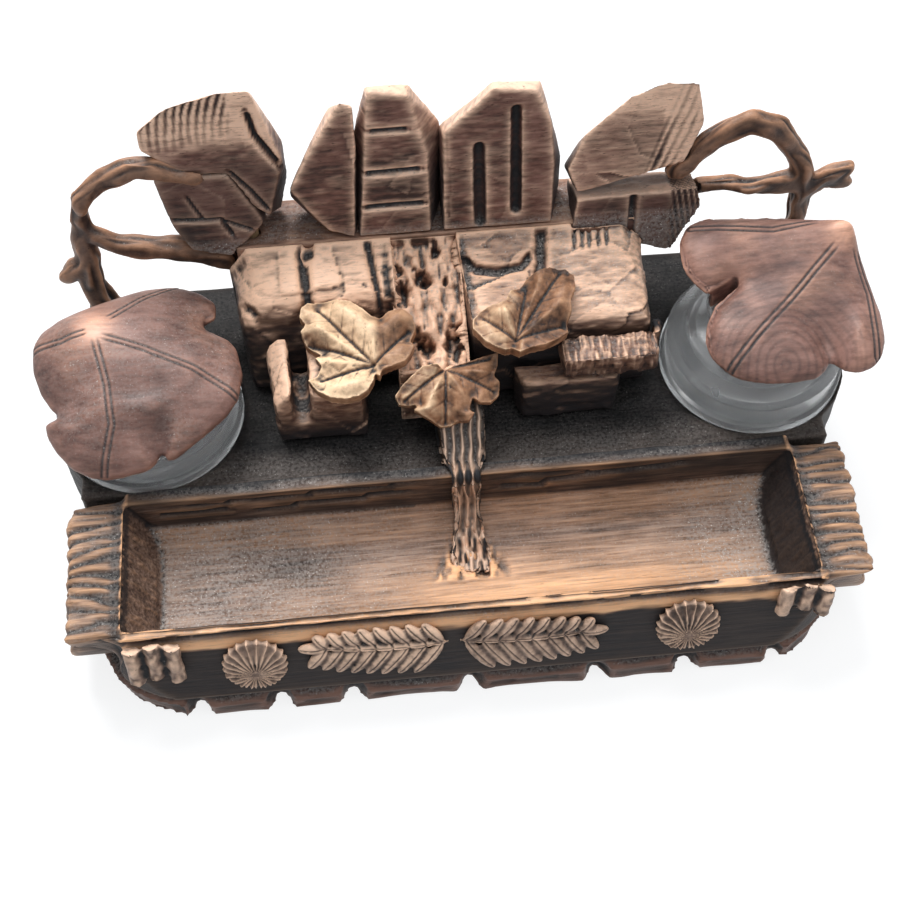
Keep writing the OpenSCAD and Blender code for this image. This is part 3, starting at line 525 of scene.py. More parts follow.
def log_marks(p, n):
    x, y, z = p.T
    splashed = splash(p) * (1.2 - 3.2 * held(1.9 * splash_chips(p) - 0.45))
    end = ramp(np.abs(x), bark_start, bark_start + 3)
    bands = y / 5 + 2.6 * swell(p, (40, 11, 99), 11, 2) + 0.6 * swell(p, (8, 5, 99), 10)
    ridge = np.abs(np.sin(bands * math.pi)) ** 0.5
    upper = ramp(z, 20, 34)
    ragged = 1.7 * (1 - ridge) + 1.4 * swell(p, (12, 1.7, 9), 12, 2) + 1.2 * swell(p, (12, 9, 9), 9)
    bark = -end * upper * ragged
    butt = -ramp(np.abs(x), butt_start, butt_start + 3) * upper * 2.2 * swell(p, (9, 4, 12), 14, 2)
    hollow = in_hollow(p).astype(float)
    floor = -hollow * (0.5 * swell(p, (45, 3, 3), 13, 3) + 1.2 * swell(p, (50, 22, 22), 22))
    gouged = -2.2 * swell(p, (9, 1.4, 7), 16, 3) * on_end_wall(p, n)
    split = 0.0
    for crack in wall_cracks:
        split = split + score(p[:, ::2], crack, 3.0, 1.5) * hollow * (y > wall_foot)
    front = ramp(y, lip_face, lip_face - 2) * ramp(z, 39, 42) * (1 - end)
    lip = -front * (2.6 * swell(p, (30, 90, 90), 17, 2) + 0.9 * swell(p, (7, 3, 3), 18, 2))
    rim = -ramp(y, -21, -19) * ramp(z, 44, 46) * 1.4 * swell(p, (24, 5, 5), 23, 2)
    return bark + butt + floor + gouged + split + lip + rim + splashed


def log_wear_and_painted_light(p, n, wear, dirt, dust):
    x, y, z = p.T
    inside = in_hollow(p)
    # The lip is rubbed to pale wood and the middle of the floor less, and the back wall is painted a little
    # lighter as painted light
    lip = ramp(y, lip_face, lip_face - 1.5) * ramp(z - 4.5 * swell(p, (9, 3, 3), 26, 2), 34.5, 36)
    wear = wear + 1.3 * lip * np.clip(1.6 - np.abs(x + 10) / 90, 0.4, 1)
    middle = held(1.25 - np.abs(x - 30) / 95) * ramp(y, -34, -56)
    wear = np.where(inside, 0.25 * wear + middle * (0.25 + 0.85 * swell(p, (50, 9, 9), 19, 3)), wear)
    # Painted light: the back wall's face is lightened against the dim grazing light it gets
    painted_light_wall = inside * ramp(y, -35, -31) * held(-2 * n[:, 1] - 0.6)
    wear = wear + painted_light_wall * (0.15 + 0.5 * swell(p, (30, 9, 4), 29, 3))
    # Ink and dirt have stained the floor, the splits and the hollows between the fall's chips
    stain = 0.75 * np.exp(-(((x + 62) / 17) ** 2 + ((y + 38) / 7) ** 2))
    stain = stain + held(2.4 * swell(p, (38, 16, 16), 20, 3) - 1.45) + 0.2 * ramp(x, 88, 118)
    for crack in wall_cracks:
        stain = stain + held(1.5 - line(p[:, ::2], crack)[0] / 0.9) * (y > wall_foot)
    splashed, chip = splash(p), splash_chips(p)
    stain = stain + splashed * held(5 * chip - 2.6)
    wear = wear + 0.7 * splashed * held(2.4 - 5 * chip)
    dirt = np.where(inside, np.maximum(0.5 * dirt, 0.8 * held(stain)), dirt)
    # The right end wall, the back rim and the bark are dark with age, and the front below the lip is
    # painted dark as painted shadow
    dirt = np.where(on_end_wall(p, n), np.where(x < 0, 0.3, 0.93), dirt)
    painted_shadow_below_lip = (y < -73) & (np.abs(x) < 128)
    dirt = np.where(painted_shadow_below_lip, np.maximum(0.4 * dirt, 0.93 * (1 - lip)), dirt)
    back_rim = (y > -22) & (np.abs(x) < bark_start)
    aged = 0.45 + 0.6 * swell(p, (16, 6, 6), 27, 2) + 0.4 * ramp(y, -19, -16)
    dirt = np.where(back_rim, np.maximum(dirt, aged), dirt)
    bark = (np.abs(x) > bark_start) & (y > -74)
    wear = np.where(bark, 0.35 * wear, np.where(back_rim, 0.6 * wear, wear))
    dirt = np.where(bark, dirt + np.where(x < 0, 0.52, 0.22), dirt)
    # Lint has gathered on the floor towards both ends
    fluff = swell(p, 8, 21, 3)
    lint = ramp(x, -5, -75) * ramp(z, 36, 30) * (0.5 + fluff) + 2 * ramp(x, 70, 100) * fluff
    in_tray = np.where(on_end_wall(p, n), 0, 0.4 * lint + 0.45 * dust)
    return wear, dirt, np.where(inside, in_tray, 0.7 * dust)


carve(log, log_marks)
weather(log, edge=0.5, hollow=0.5, dust=0.5, rubbed=0.12, seed=2, extra=log_wear_and_painted_light)
finished(log, log_finish)

# Deck block
# A thick board behind the log, with a turned recess for each well and a rough front under the rocks.

# Its near-black tones are dark old wood and also painted shade, for the shadow the deck lies in
deck_finish = walnut("deck_walnut", (0.004, 0.004, 0.004), (0.007, 0.007, 0.008), (0.017, 0.015, 0.015),
                     (0.08, 0.06, 0.05), gloss=0.12)
deck = carved_copy("deck_block", 1.3)


def deck_wear(p, n, wear, dirt, dust):
    """The front strip is a little rubbed and dusty, and the rest keeps the finish's near-black: dark old
    wood with painted shade.
    """
    front = ramp(p[:, 1], 2, -7)
    return wear + 0.7 * front * swell(p, (14, 5, 5), 28, 3), dirt * (1 - 0.6 * front), dust + 0.1 * front


carve(deck, lambda p, n: -0.8 * swell(p, (20, 5, 5), 21, 3))
weather(deck, edge=0.12, hollow=0.6, dust=0.1, seed=3, extra=deck_wear)
finished(deck, deck_finish)

# Rock core and ledges
# The core is a plain block that carries the crags. Two ledges lean against its front, split like
# stone, and their tops are rubbed pale where the carver cut across the grain.

rock_finish = walnut("rock_walnut", (0.04, 0.018, 0.012), (0.19, 0.09, 0.058), (0.42, 0.24, 0.15),
                     (0.98, 0.62, 0.42), grain=(110, 500, 500), cracks=0.4)
core = carved_copy("rock_core", 1.2)


def core_wear_and_painted_shade(p, n, wear, dirt, dust):
    # Painted shade: the core is darker the less a face looks up, and its wear is faint
    return 0.4 * wear, dirt + 0.45 * held(1.6 - n[:, 2]), dust


# Only its back is hewn
carve(core, lambda p, n: -0.9 * swell(p, (26, 26, 7), 22, 2) * ramp(p[:, 1], 57.5, 58.5))
weather(core, edge=0.15, dust=0.6, hollow=0.5, seed=4, extra=core_wear_and_painted_shade)
finished(core, rock_finish)

# The ledges' back face, and the two sides of the gully
ledge_back, gully_left, gully_right = 57, -18, 6


def rock_marks(depth, size, seed, cuts=()):
    def marks(p, n):
        relief = -depth * chips(p, size, seed) - 0.8 * swell(p, (7, 2.2, 2.2), seed + 9, 3)
        for points, width, deep in cuts:
            relief = relief + score(p[:, :2], points, width, deep) * held(2 * n[:, 2])
        return relief * keeps_joint(p)
    return marks


def keeps_joint(p):
    """No mark where the ledges meet the crags behind them and the gully between them."""
    x, y, _ = p.T
    from_gully = np.minimum(np.abs(x - gully_left), np.abs(x - gully_right))
    return ramp(y, ledge_back, ledge_back - 3) * held(from_gully / 2)


def dirt_and_painted_shade_below(level):
    """Rock is darker below a level, on faces that do not look up: dirt where no hand or duster reaches, and
    painted shade.
    """
    def darker(p, n, wear, dirt, dust):
        low = ramp(p[:, 2], level, level - 16) * held(1.25 - 1.4 * n[:, 2])
        return wear * (1 - 0.9 * low), np.maximum(dirt, 0.95 * low), dust * (1 - 0.7 * low)
    return darker


# Each cut has its line along X and Y, its width and its depth
flutes = [([(x, 47), (x + 1.5, 58)], 1.3, 1.1) for x in (49, 52, 54.5, 58, 61)]
for name, cell, depth, size, pale, dusty, cuts in (
        ("ledge_left", 0.9, 1.6, (22, 18, 14), 1.35, 0.15, [
            ([(-49.5, 20), (-51, 58)], 4, 2.5), ([(-23, 30), (-27, 58)], 3, 2),
            ([(-76, 40), (-68, 32), (-58, 30.5), (-51, 33)], 2.4, 1.6)]),
        ("ledge_right", 0.8, 1.8, (20, 16, 12), 0.65, 0.55, flutes + [
            ([(35, 36), (38, 58)], 4, 2.5),
            ([(7, 47), (12, 43.5), (20, 42), (29, 43), (34, 47)], 2.8, 2.2)])):
    ledge = carved_copy(name, cell)
    soften(ledge, 60, lambda p: held(keeps_joint(p) * ramp(p[:, 1], 54, 46)))
    carve(ledge, rock_marks(depth, size, len(name), cuts))
    weather(ledge, edge=0.5, hollow=0.9, dust=dusty, rubbed=pale, seed=5, extra=dirt_and_painted_shade_below(87))
    finished(ledge, rock_finish)

# Spring gully
# A cleft between the ledges, drilled and gouged to look like stone that water has eaten.

gully = carved_copy("spring_gully", 0.6, undrilled=True)
# Middle of each pit along X and Y, its radius and its depth
gully_pits = [(-16.5, 46, 1.8, 4), (-8.5, 44, 2.1, 5), (-6, 42, 1.4, 5), (1, 41, 1.2, 3), (-16, 38, 2.8, 5),
              (-2, 52, 1.3, 3), (-12.5, 21, 3.0, 7), (-8, 19, 2.2, 8), (2.2, 20, 3.2, 8), (5, 24, 2.0, 6)]
# It is a little wider than its solid, and so let into the ledges on both sides
gully_middle = (gully_left + gully_right) / 2
p, _ = surface(gully)
p[:, 0] = gully_middle + 1.09 * (p[:, 0] - gully_middle)
move_to(gully, p)


def gully_marks(p, n):
    x, y, _ = p.T
    up = held(2 * n[:, 2])
    eaten = held(2.2 * swell(p, (2.4, 7, 7), 31, 3) - 0.65)
    relief = -3.4 * eaten - 1.3 * swell(p, (3, 3, 3), 32, 3)
    for i, (across, back, r, deep) in enumerate(gully_pits):
        ragged = r * (0.4 + 1.2 * swell(p, 2.6, 90 + i, 2))
        away = np.hypot(x - across, 0.8 * (y - back))
        relief = relief - deep * held(1.5 - away / ragged)
    return relief * up * ramp(y, ledge_back, ledge_back - 2)


carve(gully, gully_marks)
weather(gully, edge=0.4, hollow=0.35, dust=0.5, rubbed=1.4, seed=6)
finished(gully, rock_finish)

# Boulders and ridged slab
# They stand on the deck in front of the ledges. The slab's top is cut across with a small gouge.

for name, cell, depth, size, pale, level in (("boulder_left", 0.8, 1.5, (18, 12, 14), 1.5, 66),
                                             ("boulder_right", 0.8, 1.5, (20, 10, 10), 0.0, 82),
                                             ("slab_right", 0.55, 0.5, (14, 8, 6), 0.15, 80)):
    boulder = carved_copy(name, cell)
    soften(boulder, 25)
    carve(boulder, rock_marks(depth, size, len(name) + 3))
    if name == "slab_right":
        carve(boulder, lambda p, n: -2.0 * held(1.8 * swell(p, (1.9, 12, 6), 48, 3) - 0.4))
    weather(boulder, edge=0.5, hollow=0.6, dust=0.3, rubbed=pale, seed=8, extra=dirt_and_painted_shade_below(level))
    finished(boulder, rock_finish)

# Crags along the back
# Five split and sawn pieces stand on the core, each glued on over a dowel, and two more on the
# outer ones. Some keep the saw's or gouge's ridges, others are planed smooth, and their top facets
# and edges are rubbed pale.

crag_finish = walnut("crag_walnut", (0.03, 0.014, 0.012), (0.15, 0.067, 0.05), (0.26, 0.13, 0.1),
                     (0.95, 0.62, 0.44), grain=(110, 110, 750), figure=0.4, cracks=0.6)
# Each cut has its line along X and Z, its width and its depth
crag_cuts = {
    "crag_mid_left": [([(-27, 104.8), (-4, 105)], 2.2, 1.4), ([(-26, 119), (-5, 119.5)], 2.2, 1.7),
                      ([(-23, 136), (-9, 136)], 1.8, 1.3)],
    "crag_lower_left": [([(-97, 106), (-84, 105), (-78, 105), (-74, 96)], 1.6, 1.6),
                        ([(-89, 116), (-86, 109), (-84, 105)], 1.2, 1.0),
                        ([(-77, 104), (-67, 99)], 1.4, 1.4)],
    "crag_upper_left": [([(-64, 148), (-62, 138), (-57, 129), (-52, 121)], 2.4, 2.4),
                        ([(-73, 125), (-66, 116), (-60, 106)], 1.6, 1.6)],
    "crag_lower_right": [([(71.6, 103), (71.4, 82)], 2.4, 2.2)],
}


def crag_marks(name, seed):
    def marks(p, n):
        x, y, z = p.T
        front = held(-1.5 * n[:, 1] - 0.2)
        relief = -0.3 * chips(p, (23, 19, 23), seed) - 0.35 * swell(p, (7, 3, 2.4), seed + 3, 3)
        for points, width, deep in crag_cuts.get(name, ()):
            relief = relief + front * score(p[:, ::2], points, width, deep)
        if name == "crag_upper_left":
            ridged = ramp(z - 0.2 * (x + 98), 132, 146) * ramp(x, -69, -72)
            wave = x + 0.15 * z - 0.012 * (z - 130) ** 2 + 1.5 * swell(p, (6, 9, 9), 77, 2)
            relief = relief - front * ridged * 0.9 * np.abs(np.sin(wave * math.pi / 2.7))
        if name == "crag_upper_right":
            ridged = ramp(x - 0.3 * (z - 126), 79, 82)
            wave = x - 0.35 * z + 2 * swell(p, (9, 9, 9), 78, 2)
            relief = relief - front * ridged * 0.5 * np.abs(np.sin(wave * math.pi / 3.2))
        if name == "crag_lower_right":
            ridged = ramp(x, 85, 87)
            relief = relief - ridged * np.abs(np.sin((x + y) * math.pi / 2.2))
        return relief
    return marks


# The three middle crags are cut a little wider than their solids, so that their sides meet
crag_widened = {
    "crag_inner_left": lambda x: 2.4 * ramp(x, -46, -32),
    "crag_mid_left": lambda x: 1.2 * np.clip((x + 12) / 12, -1, 1),
    "crag_mid_right": lambda x: -1.8 * ramp(x, 14, 2),
}


def crag_wear_and_painted_shade(p, n, wear, dirt, dust):
    x, _, z = p.T
    # Painted shade: the crags' sides are darker below their tops
    side = held(1.8 * np.abs(n[:, 0]) - 0.6)
    foot = ramp(z, 97, 92) * held(-n[:, 1])
    dark = 0.85 * side * ramp(z, 138, 113)
    high = ramp(z, 132, 140) * ramp(np.abs(x), 55, 65)
    wear = wear + 0.8 * high * (0.5 + swell(p, 9, 44, 2)) + 0.4 * ramp(n[:, 2], 0.15, 0.55)
    # The right end of the upper right crag is the palest, and the two lower crags are painted in shade
    fluted = ramp(x, 80, 85) * ramp(z, 112, 118) * held(-2 * n[:, 1])
    upper_right = ramp(x, 46, 48) * ramp(z, 107, 111)
    wear = wear + 1.1 * fluted + 0.25 * upper_right
    lower_top = np.where(x < 0, 132, 107)
    shade = ramp(np.abs(x), 50, 54) * ramp(z, lower_top, lower_top - 8)
    wear, dirt = wear * (1 - 0.5 * shade), np.maximum(dirt, 0.42 * shade)
    return wear * (1 - 0.7 * dark), np.maximum(dirt, np.maximum(dark, 0.5 * foot)), dust + 0.5 * foot


for i, name in enumerate(("crag_mid_left", "crag_mid_right", "crag_inner_left", "crag_lower_left",
                          "crag_upper_left", "crag_lower_right", "crag_upper_right")):
    crag = carved_copy(name, 0.7)
    p, _ = surface(crag)
    p[:, 0] += crag_widened.get(name, lambda x: 0)(p[:, 0])
    move_to(crag, p)
    soften(crag, 4)
    carve(crag, crag_marks(name, 40 + 5 * i))
    weather(crag, edge=0.65, hollow=0.7, dust=0.35, rubbed=0.6, seed=7 + i, extra=crag_wear_and_painted_shade)
    finished(crag, crag_finish)

dowel_finish = walnut("dowel_walnut", (0.2, 0.12, 0.06), (0.4, 0.26, 0.14), (0.5, 0.34, 0.2),
                      (0.6, 0.4, 0.25), grain=(900, 900, 90))
frame["nodes"]["crag_dowels"].data.materials[0] = dowel_finish

# Gnarled branches
# They are carved from the round, twisted and fluted, and arch out from the crags behind the lids.

branch_finish = walnut("branch_walnut", (0.014, 0.008, 0.007), (0.055, 0.03, 0.023), (0.14, 0.08, 0.056),
                       (0.5, 0.26, 0.15), grain=(150, 700, 150))
for i, name in enumerate(("branch_left", "branch_right")):
    branch = carved_copy(name, 0.7)
    soften(branch, 10)
    warp(branch, 2.2, (13, 9, 13), 85 + i)
    carve(branch, lambda p, n: 0.7 - 2.0 * held(2 * swell(p, (18, 2, 18), 80 + i, 2) - 0.5))
    weather(branch, edge=0.5, hollow=0.7, dust=0.25, rubbed=0.15, seed=20 + i)
    finished(branch, branch_finish)

# Fall of water
# Twisted strands run from the gully over the log's back wall and spread on its floor.

fall_finish = walnut("fall_walnut", (0.03, 0.02, 0.016), (0.14, 0.1, 0.08), (0.34, 0.24, 0.18),
                     (0.8, 0.55, 0.4), grain=(600, 150, 150))
fall = carved_copy("water_fall", 0.5)
# From front to back its width changes, as a share of that of the solid, and its foot lies lower
fall_middle = 2.0
p, _ = surface(fall)
spread = np.interp(p[:, 1], (-46, -40, -34, -28, -20, -14, 0), (0.7, 0.9, 0.7, 0.55, 0.6, 0.9, 1.0))
p[:, 2] -= ramp(p[:, 1], -32, -42) * 2.2
p[:, 0] = fall_middle + (p[:, 0] - fall_middle) * spread
move_to(fall, p)


def fall_marks(p, n):
    x, y, _ = p.T
    on_floor = ramp(y, -30, -34)
    wave = x + 3 * swell(p, (30, 9, 12), 51, 2)
    strands = 1.7 * np.abs(np.sin(wave * math.pi / 3.1)) ** 0.7 + 1.2 * swell(p, (2, 8, 8), 52, 2)
    splashes = 3.4 * held(1.9 * swell(p, (1.9, 5, 5), 53, 2) - 0.4)
    return -(1 - on_floor) * strands - on_floor * splashes


def fall_wear_and_painted_light(p, n, wear, dirt, dust):
    """Dark on the deck, where it lies deep, and paler from the log's rim down: rubbed wood with painted
    light.
    """
    low = ramp(p[:, 1], -12, -18)
    return wear + 0.5 * low, dirt + 0.2 * (1 - low), dust


carve(fall, fall_marks)
weather(fall, edge=0.5, hollow=0.6, dust=0.4, rubbed=0.2, seed=30, extra=fall_wear_and_painted_light)
finished(fall, fall_finish)

# Vine leaves
# Three toothed leaves lie over the rocks. Each is carved from one flat blank: its lobes swell
# between sunk veins and its rim turns down. They are the palest wood, where hands have rubbed them.


def from_blank(name, body, outline, thick, cell):
    """A flat blank with that outline in millimetres, its top at height 0, in even cells."""
    bm = bmesh.new()
    face = bm.faces.new([bm.verts.new((x * MM, y * MM, 0)) for x, y in outline])
    bm.normal_update()
    if face.normal.z < 0:
        bmesh.ops.reverse_faces(bm, faces=[face])
    pushed = bmesh.ops.extrude_face_region(bm, geom=[face])["geom"]
    sunk = [v for v in pushed if isinstance(v, bmesh.types.BMVert)]
    bmesh.ops.translate(bm, verts=sunk, vec=(0, 0, -thick * MM))
    bmesh.ops.recalc_face_normals(bm, faces=bm.faces)
    piece = new_piece(name, bm, body)
    evenly(piece, cell)
    return piece


def placed(p, middle, tilt):
    """Points of a blank, tilted up at the back and set on its place."""
    c, s = math.cos(math.radians(tilt)), math.sin(math.radians(tilt))
    return p @ np.array([(1, 0, 0), (0, c, s), (0, -s, c)]) + np.array(middle)


leaf_finish = walnut("vine_walnut", (0.06, 0.024, 0.012), (0.28, 0.13, 0.065), (0.5, 0.27, 0.15),
                     (1.0, 0.7, 0.44), grain=(250, 250, 250), figure=0.4)
# How pale each leaf is, its middle, its tilt, its stem, its outline and the tips of its veins
leaves = {
    "vine_leaf_left": (0.9, (-33.5, 18, 81.6), 14, (5.7, -8.7), [
        (-18.9, 15.2), (-16.1, 17.3), (-11.3, 17.7), (-5.5, 17.5), (-0.8, 16), (2.7, 13.3), (6.5, 9.9),
        (9.2, 8.9), (12.6, 11.3), (17.4, 11.4), (20.9, 8.6), (21.9, 4.3), (19.4, -0.3), (20.8, -2.9),
        (19.3, -5.7), (16.8, -8.6), (12.4, -9.9), (8.4, -10.9), (7.4, -14), (5.8, -11.6), (5.2, -14.9),
        (2.9, -18.6), (-0.4, -20.5), (-5.1, -21.3), (-10.7, -20), (-15.2, -16.7), (-18.2, -12.8),
        (-14.8, -10.9), (-13, -7.9), (-15.2, -4.3), (-12.7, -2.6), (-15.4, -0.6), (-18.3, 2.2),
        (-19.7, 6.6), (-17.7, 8.8), (-19.8, 11.8)],
        [(-13, 14), (-13.4, -13.2), (18.8, 3.2), (-17.1, 1.8)]),
    "vine_leaf_right": (0.25, (27, 23, 90), 14, (-3.9, -13.5), [
        (7.4, 12.6), (11.8, 13.7), (17.1, 13.2), (19.8, 9.7), (19.4, 3.9), (17, -0.5), (17, -4.5),
        (15, -8.3), (15.1, -11.7), (10.5, -14.7), (6.1, -16.6), (0.9, -17.3), (-2.9, -18.6),
        (-5.3, -16.2), (-8, -17), (-11.5, -15.6), (-14.9, -13.6), (-16.7, -10.6), (-18.8, -7.6),
        (-18.4, -4.2), (-15.8, -1.6), (-12.5, -0.2), (-8.7, 0.4), (-6, 1.6), (-3.9, 6), (-0.1, 7.4),
        (2.4, 10.1)],
        [(14.7, 11.3), (-14.5, -4.6), (13.3, -9.3), (2, 6)]),
    "vine_leaf_middle": (0.15, (-2, 4, 72.9), 27, (-0.2, 4.7), [
        (-3.2, 6.9), (-0.8, 4.3), (2.5, 5.6), (8.4, 6.7), (14.4, 8.3), (19.2, 9), (18.6, 4.2),
        (16.9, 0.6), (18.8, -1.7), (18.3, -6.4), (14.9, -9.3), (10.7, -9), (8.4, -6.9), (6.8, -11.3),
        (8.6, -12.5), (6.4, -15.5), (2.8, -14.9), (0, -16), (-3.7, -16.3), (-7.2, -13.8),
        (-10.1, -12), (-13.1, -9.6), (-10.8, -7.7), (-14.5, -7.9), (-18.1, -7.1), (-19.4, -3.8),
        (-16.5, -0.3), (-13.1, 2.6), (-8.6, 6)],
        [(-15.9, -5.7), (16.3, -5.2), (-2, -14.8), (15.8, 6.6)]),
}
for i, (name, (pale, middle, tilt, stem, outline, veins)) in enumerate(leaves.items()):
    leaf = from_blank(name + "_carved", "stand", outline, thick=6, cell=0.5)
    p, _ = surface(leaf)
    flat = p[:, :2]
    rim, _ = line(flat, outline + outline[:1])
    vein = np.full(len(p), 99.0)
    side_veins = 0.0
    for tip in veins:
        d, share = line(flat, [stem, tip])
        vein = np.minimum(vein, d)
        along = share * math.dist(stem, tip)
        branching = np.exp(-((np.abs(np.sin((along - 0.8 * d) * 0.55)) / 0.2) ** 2))
        side_veins = side_veins + branching * (d < 6) * 0.25
    top = p[:, 2] > -2.5
    bent = 4.2 * (1 - np.exp(-(vein / 4.5) ** 2)) - 3.4 * np.exp(-(rim / 3) ** 2)
    bent = bent + 2.4 * swell(p, (9, 9, 99), 60 + i)
    cut = top * (0.9 * np.exp(-(vein / 0.55) ** 2) + side_veins + 0.35 * swell(p, 2.5, 64 + i, 2))
    p[:, 2] += bent - cut - 1.8
    move_to(leaf, placed(p, middle, tilt))

    def leaf_wear_and_painted_shade(p, n, wear, dirt, dust):
        """The half to the right of the stem is painted in shade."""
        shaded = ramp(p[:, 0] - middle[0] - stem[0], 0, 3)
        return wear * (1 - 0.9 * shaded), dirt + 0.2 * shaded, dust

    weather(leaf, edge=0.35, hollow=0.8, dust=0.12, rubbed=pale, seed=32 + i, extra=leaf_wear_and_painted_shade)
    finished(leaf, leaf_finish)
    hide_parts(name)

# Fern fronds, rosettes and twig stubs
# Small carvings applied to the log's front, over the notched stones of the base.

trim_finish = walnut("trim_walnut", (0.05, 0.03, 0.022), (0.24, 0.15, 0.11), (0.45, 0.3, 0.22),
                     (0.9, 0.6, 0.42), grain=(300, 300, 300))
# The log's front slopes out by 1 in 3, down from an edge at this Y and Z
front_slope = math.atan(1 / 3)
front_edge = (-74, 44)
frond_height, rosette_height = 32.4, 30.3


def front_at(x, z):
    """The place on the log's front at that height."""
    return np.array((x, front_edge[0] - (front_edge[1] - z) / 3, z))


def on_front(p, x, z, turn=0.0, flip=1):
    """Flat coordinates of points on the log's sloping front, from a place on it."""
    away = p - front_at(x, z)
    u = away[:, 0] * flip
    v = away[:, 1] * math.sin(front_slope) + away[:, 2] * math.cos(front_slope)
    c, s = math.cos(math.radians(turn)), math.sin(math.radians(turn))
    return np.stack([u * c + v * s, v * c - u * s], axis=1)


def trim(piece, marks, rounds=2, rubbed=0.35):
    soften(piece, rounds)
    carve(piece, marks)
    weather(piece, edge=0.7, hollow=0.9, dust=0.2, rubbed=rubbed, seed=len(piece.name))
    finished(piece, trim_finish)


# Foot of each leaflet along the stem, its angle, length, width and thickness, then the stem itself
leaflets = [(5.8 * (i + 0.3), angle, 18.5 * share * (1 - 0.45 * (i / 8) ** 2), width, 4.4)
            for i in range(8) for angle, share, width in ((-55, 1.0, 5.6), (50, 0.65, 5.0))]
leaflets += [(41, 0, 12, 5.5, 4.2), (-1, 0, 48, 2.6, 5.4)]
slope_up = Vector((0, math.sin(front_slope), math.cos(front_slope)))
slope_out = Vector((0, -math.cos(front_slope), math.sin(front_slope)))


def frond(name, x, turn, flip, pale):
    """Rounded leaflets laid like shingles along a stem, each with a line cut down its middle."""
    bm = bmesh.new()
    lines = []
    for foot, angle, length, width, thick in leaflets:
        a, t = math.radians(angle + turn), math.radians(turn)
        start = foot * (Vector((flip * math.cos(t), 0, 0)) + math.sin(t) * slope_up)
        ahead = Vector((flip * math.cos(a), 0, 0)) + math.sin(a) * slope_up
        middle = Vector(front_at(x, frond_height)) + start + ahead * length / 2 + slope_out * 1.6
        turned = Matrix((ahead, slope_out.cross(ahead), slope_out)).transposed().to_4x4()
        leaned = (Matrix.Rotation(math.radians(12 * flip), 4, "X")
                  @ Matrix.Diagonal((length / 2, width / 2, thick / 2, 1)))
        bmesh.ops.create_uvsphere(bm, u_segments=20, v_segments=12, radius=MM,
                                  matrix=Matrix.Translation(middle * MM) @ turned @ leaned)
        a = math.radians(angle)
        lines.append([(foot, 0), (foot + 0.9 * length * math.cos(a), 0.9 * length * math.sin(a))])
    piece = new_piece(name + "_carved", bm, "stand")
    evenly(piece, 0.4)

    def middles(p, n):
        q = on_front(p, x, frond_height, turn, flip)
        near = np.min([line(q, ends)[0] for ends in lines], axis=0)
        return -0.55 * np.exp(-(near / 0.4) ** 2) - 0.5 * swell(p, (3, 2, 3), len(name), 2)

    trim(piece, middles, rounds=1, rubbed=pale)
    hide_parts(name)


def fanned(p, x):
    """Ribs that fan out from a low middle."""
    u, v = on_front(p, x, rosette_height).T
    angle, reach = np.arctan2(v + 4, u), np.hypot(u, v + 4)
    ribs = np.abs(np.sin(13 * angle)) ** 0.7 * held(reach / 4)
    return -ribs - 0.9 * np.exp(-(reach / 2) ** 2)


frond("frond_left", -10, 3, -1, 1.5)
frond("frond_right", -6, -1, 1, 0.3)
for name, x in (("rosette_left", -78), ("rosette_right", 75)):
    trim(carved_copy(name, 0.4), lambda p, n: fanned(p, x), rounds=30)
for name, slot in (("twig_stubs_left", "worn_walnut"), ("twig_stubs_right", "walnut")):
    trim(carved_copy(name, 0.5), lambda p, n: -1.6 * swell(p, (4, 3, 4), len(name), 2), rubbed=1.0)

# Glass wells
# Thick moulded glass, stepped in rings from a foot band to a domed shoulder, with a ground lip.

# The middle of each well
well_places = {"glass_well_left": (-113, 20.8), "glass_well_right": (116.5, 23.8)}


def ringed_glass(name, x, y):
    """Clear glass, faintly ringed round one well's middle and a little smeared."""
    glass, tree, shader, places = new_finish(
        name, {"Base Color": (0.92, 0.94, 0.95, 1), "Transmission Weight": 0.9, "IOR": 1.45})
    middle = add(tree, "ShaderNodeMapping", {"Vector": places, "Location": (-x * MM, -y * MM, 0)})
    rings = add(tree, "ShaderNodeTexWave", {"Vector": middle.outputs[0], "Scale": 60.0},
                wave_type="RINGS", rings_direction="Z")
    bump = add(tree, "ShaderNodeBump",
               {"Height": rings.outputs["Fac"], "Distance": 0.00006, "Strength": 1.0})
    tree.links.new(bump.outputs[0], shader.inputs["Normal"])
    smears = noise(tree, places, 60.0, 5.0)
    tree.links.new(worked(tree, "MULTIPLY_ADD", smears, 0.25, 0.1), shader.inputs["Roughness"])
    return glass


for name, place in well_places.items():
    frame["nodes"][name].data.materials[0] = ringed_glass(name, *place)

# Leaf lids
# Each lid is one peaked leaf of smooth walnut on a boss over a turned plug, and lifts straight off
# its well. Two fine lines are cut beside each vein, and the rim is nicked between the lobes.

lid_finish = walnut("lid_walnut", (0.09, 0.042, 0.033), (0.18, 0.088, 0.068), (0.27, 0.14, 0.11),
                    (0.8, 0.42, 0.28), grain=(90, 420, 420), cracks=0.1, relief=0.00012, gloss=0.4)
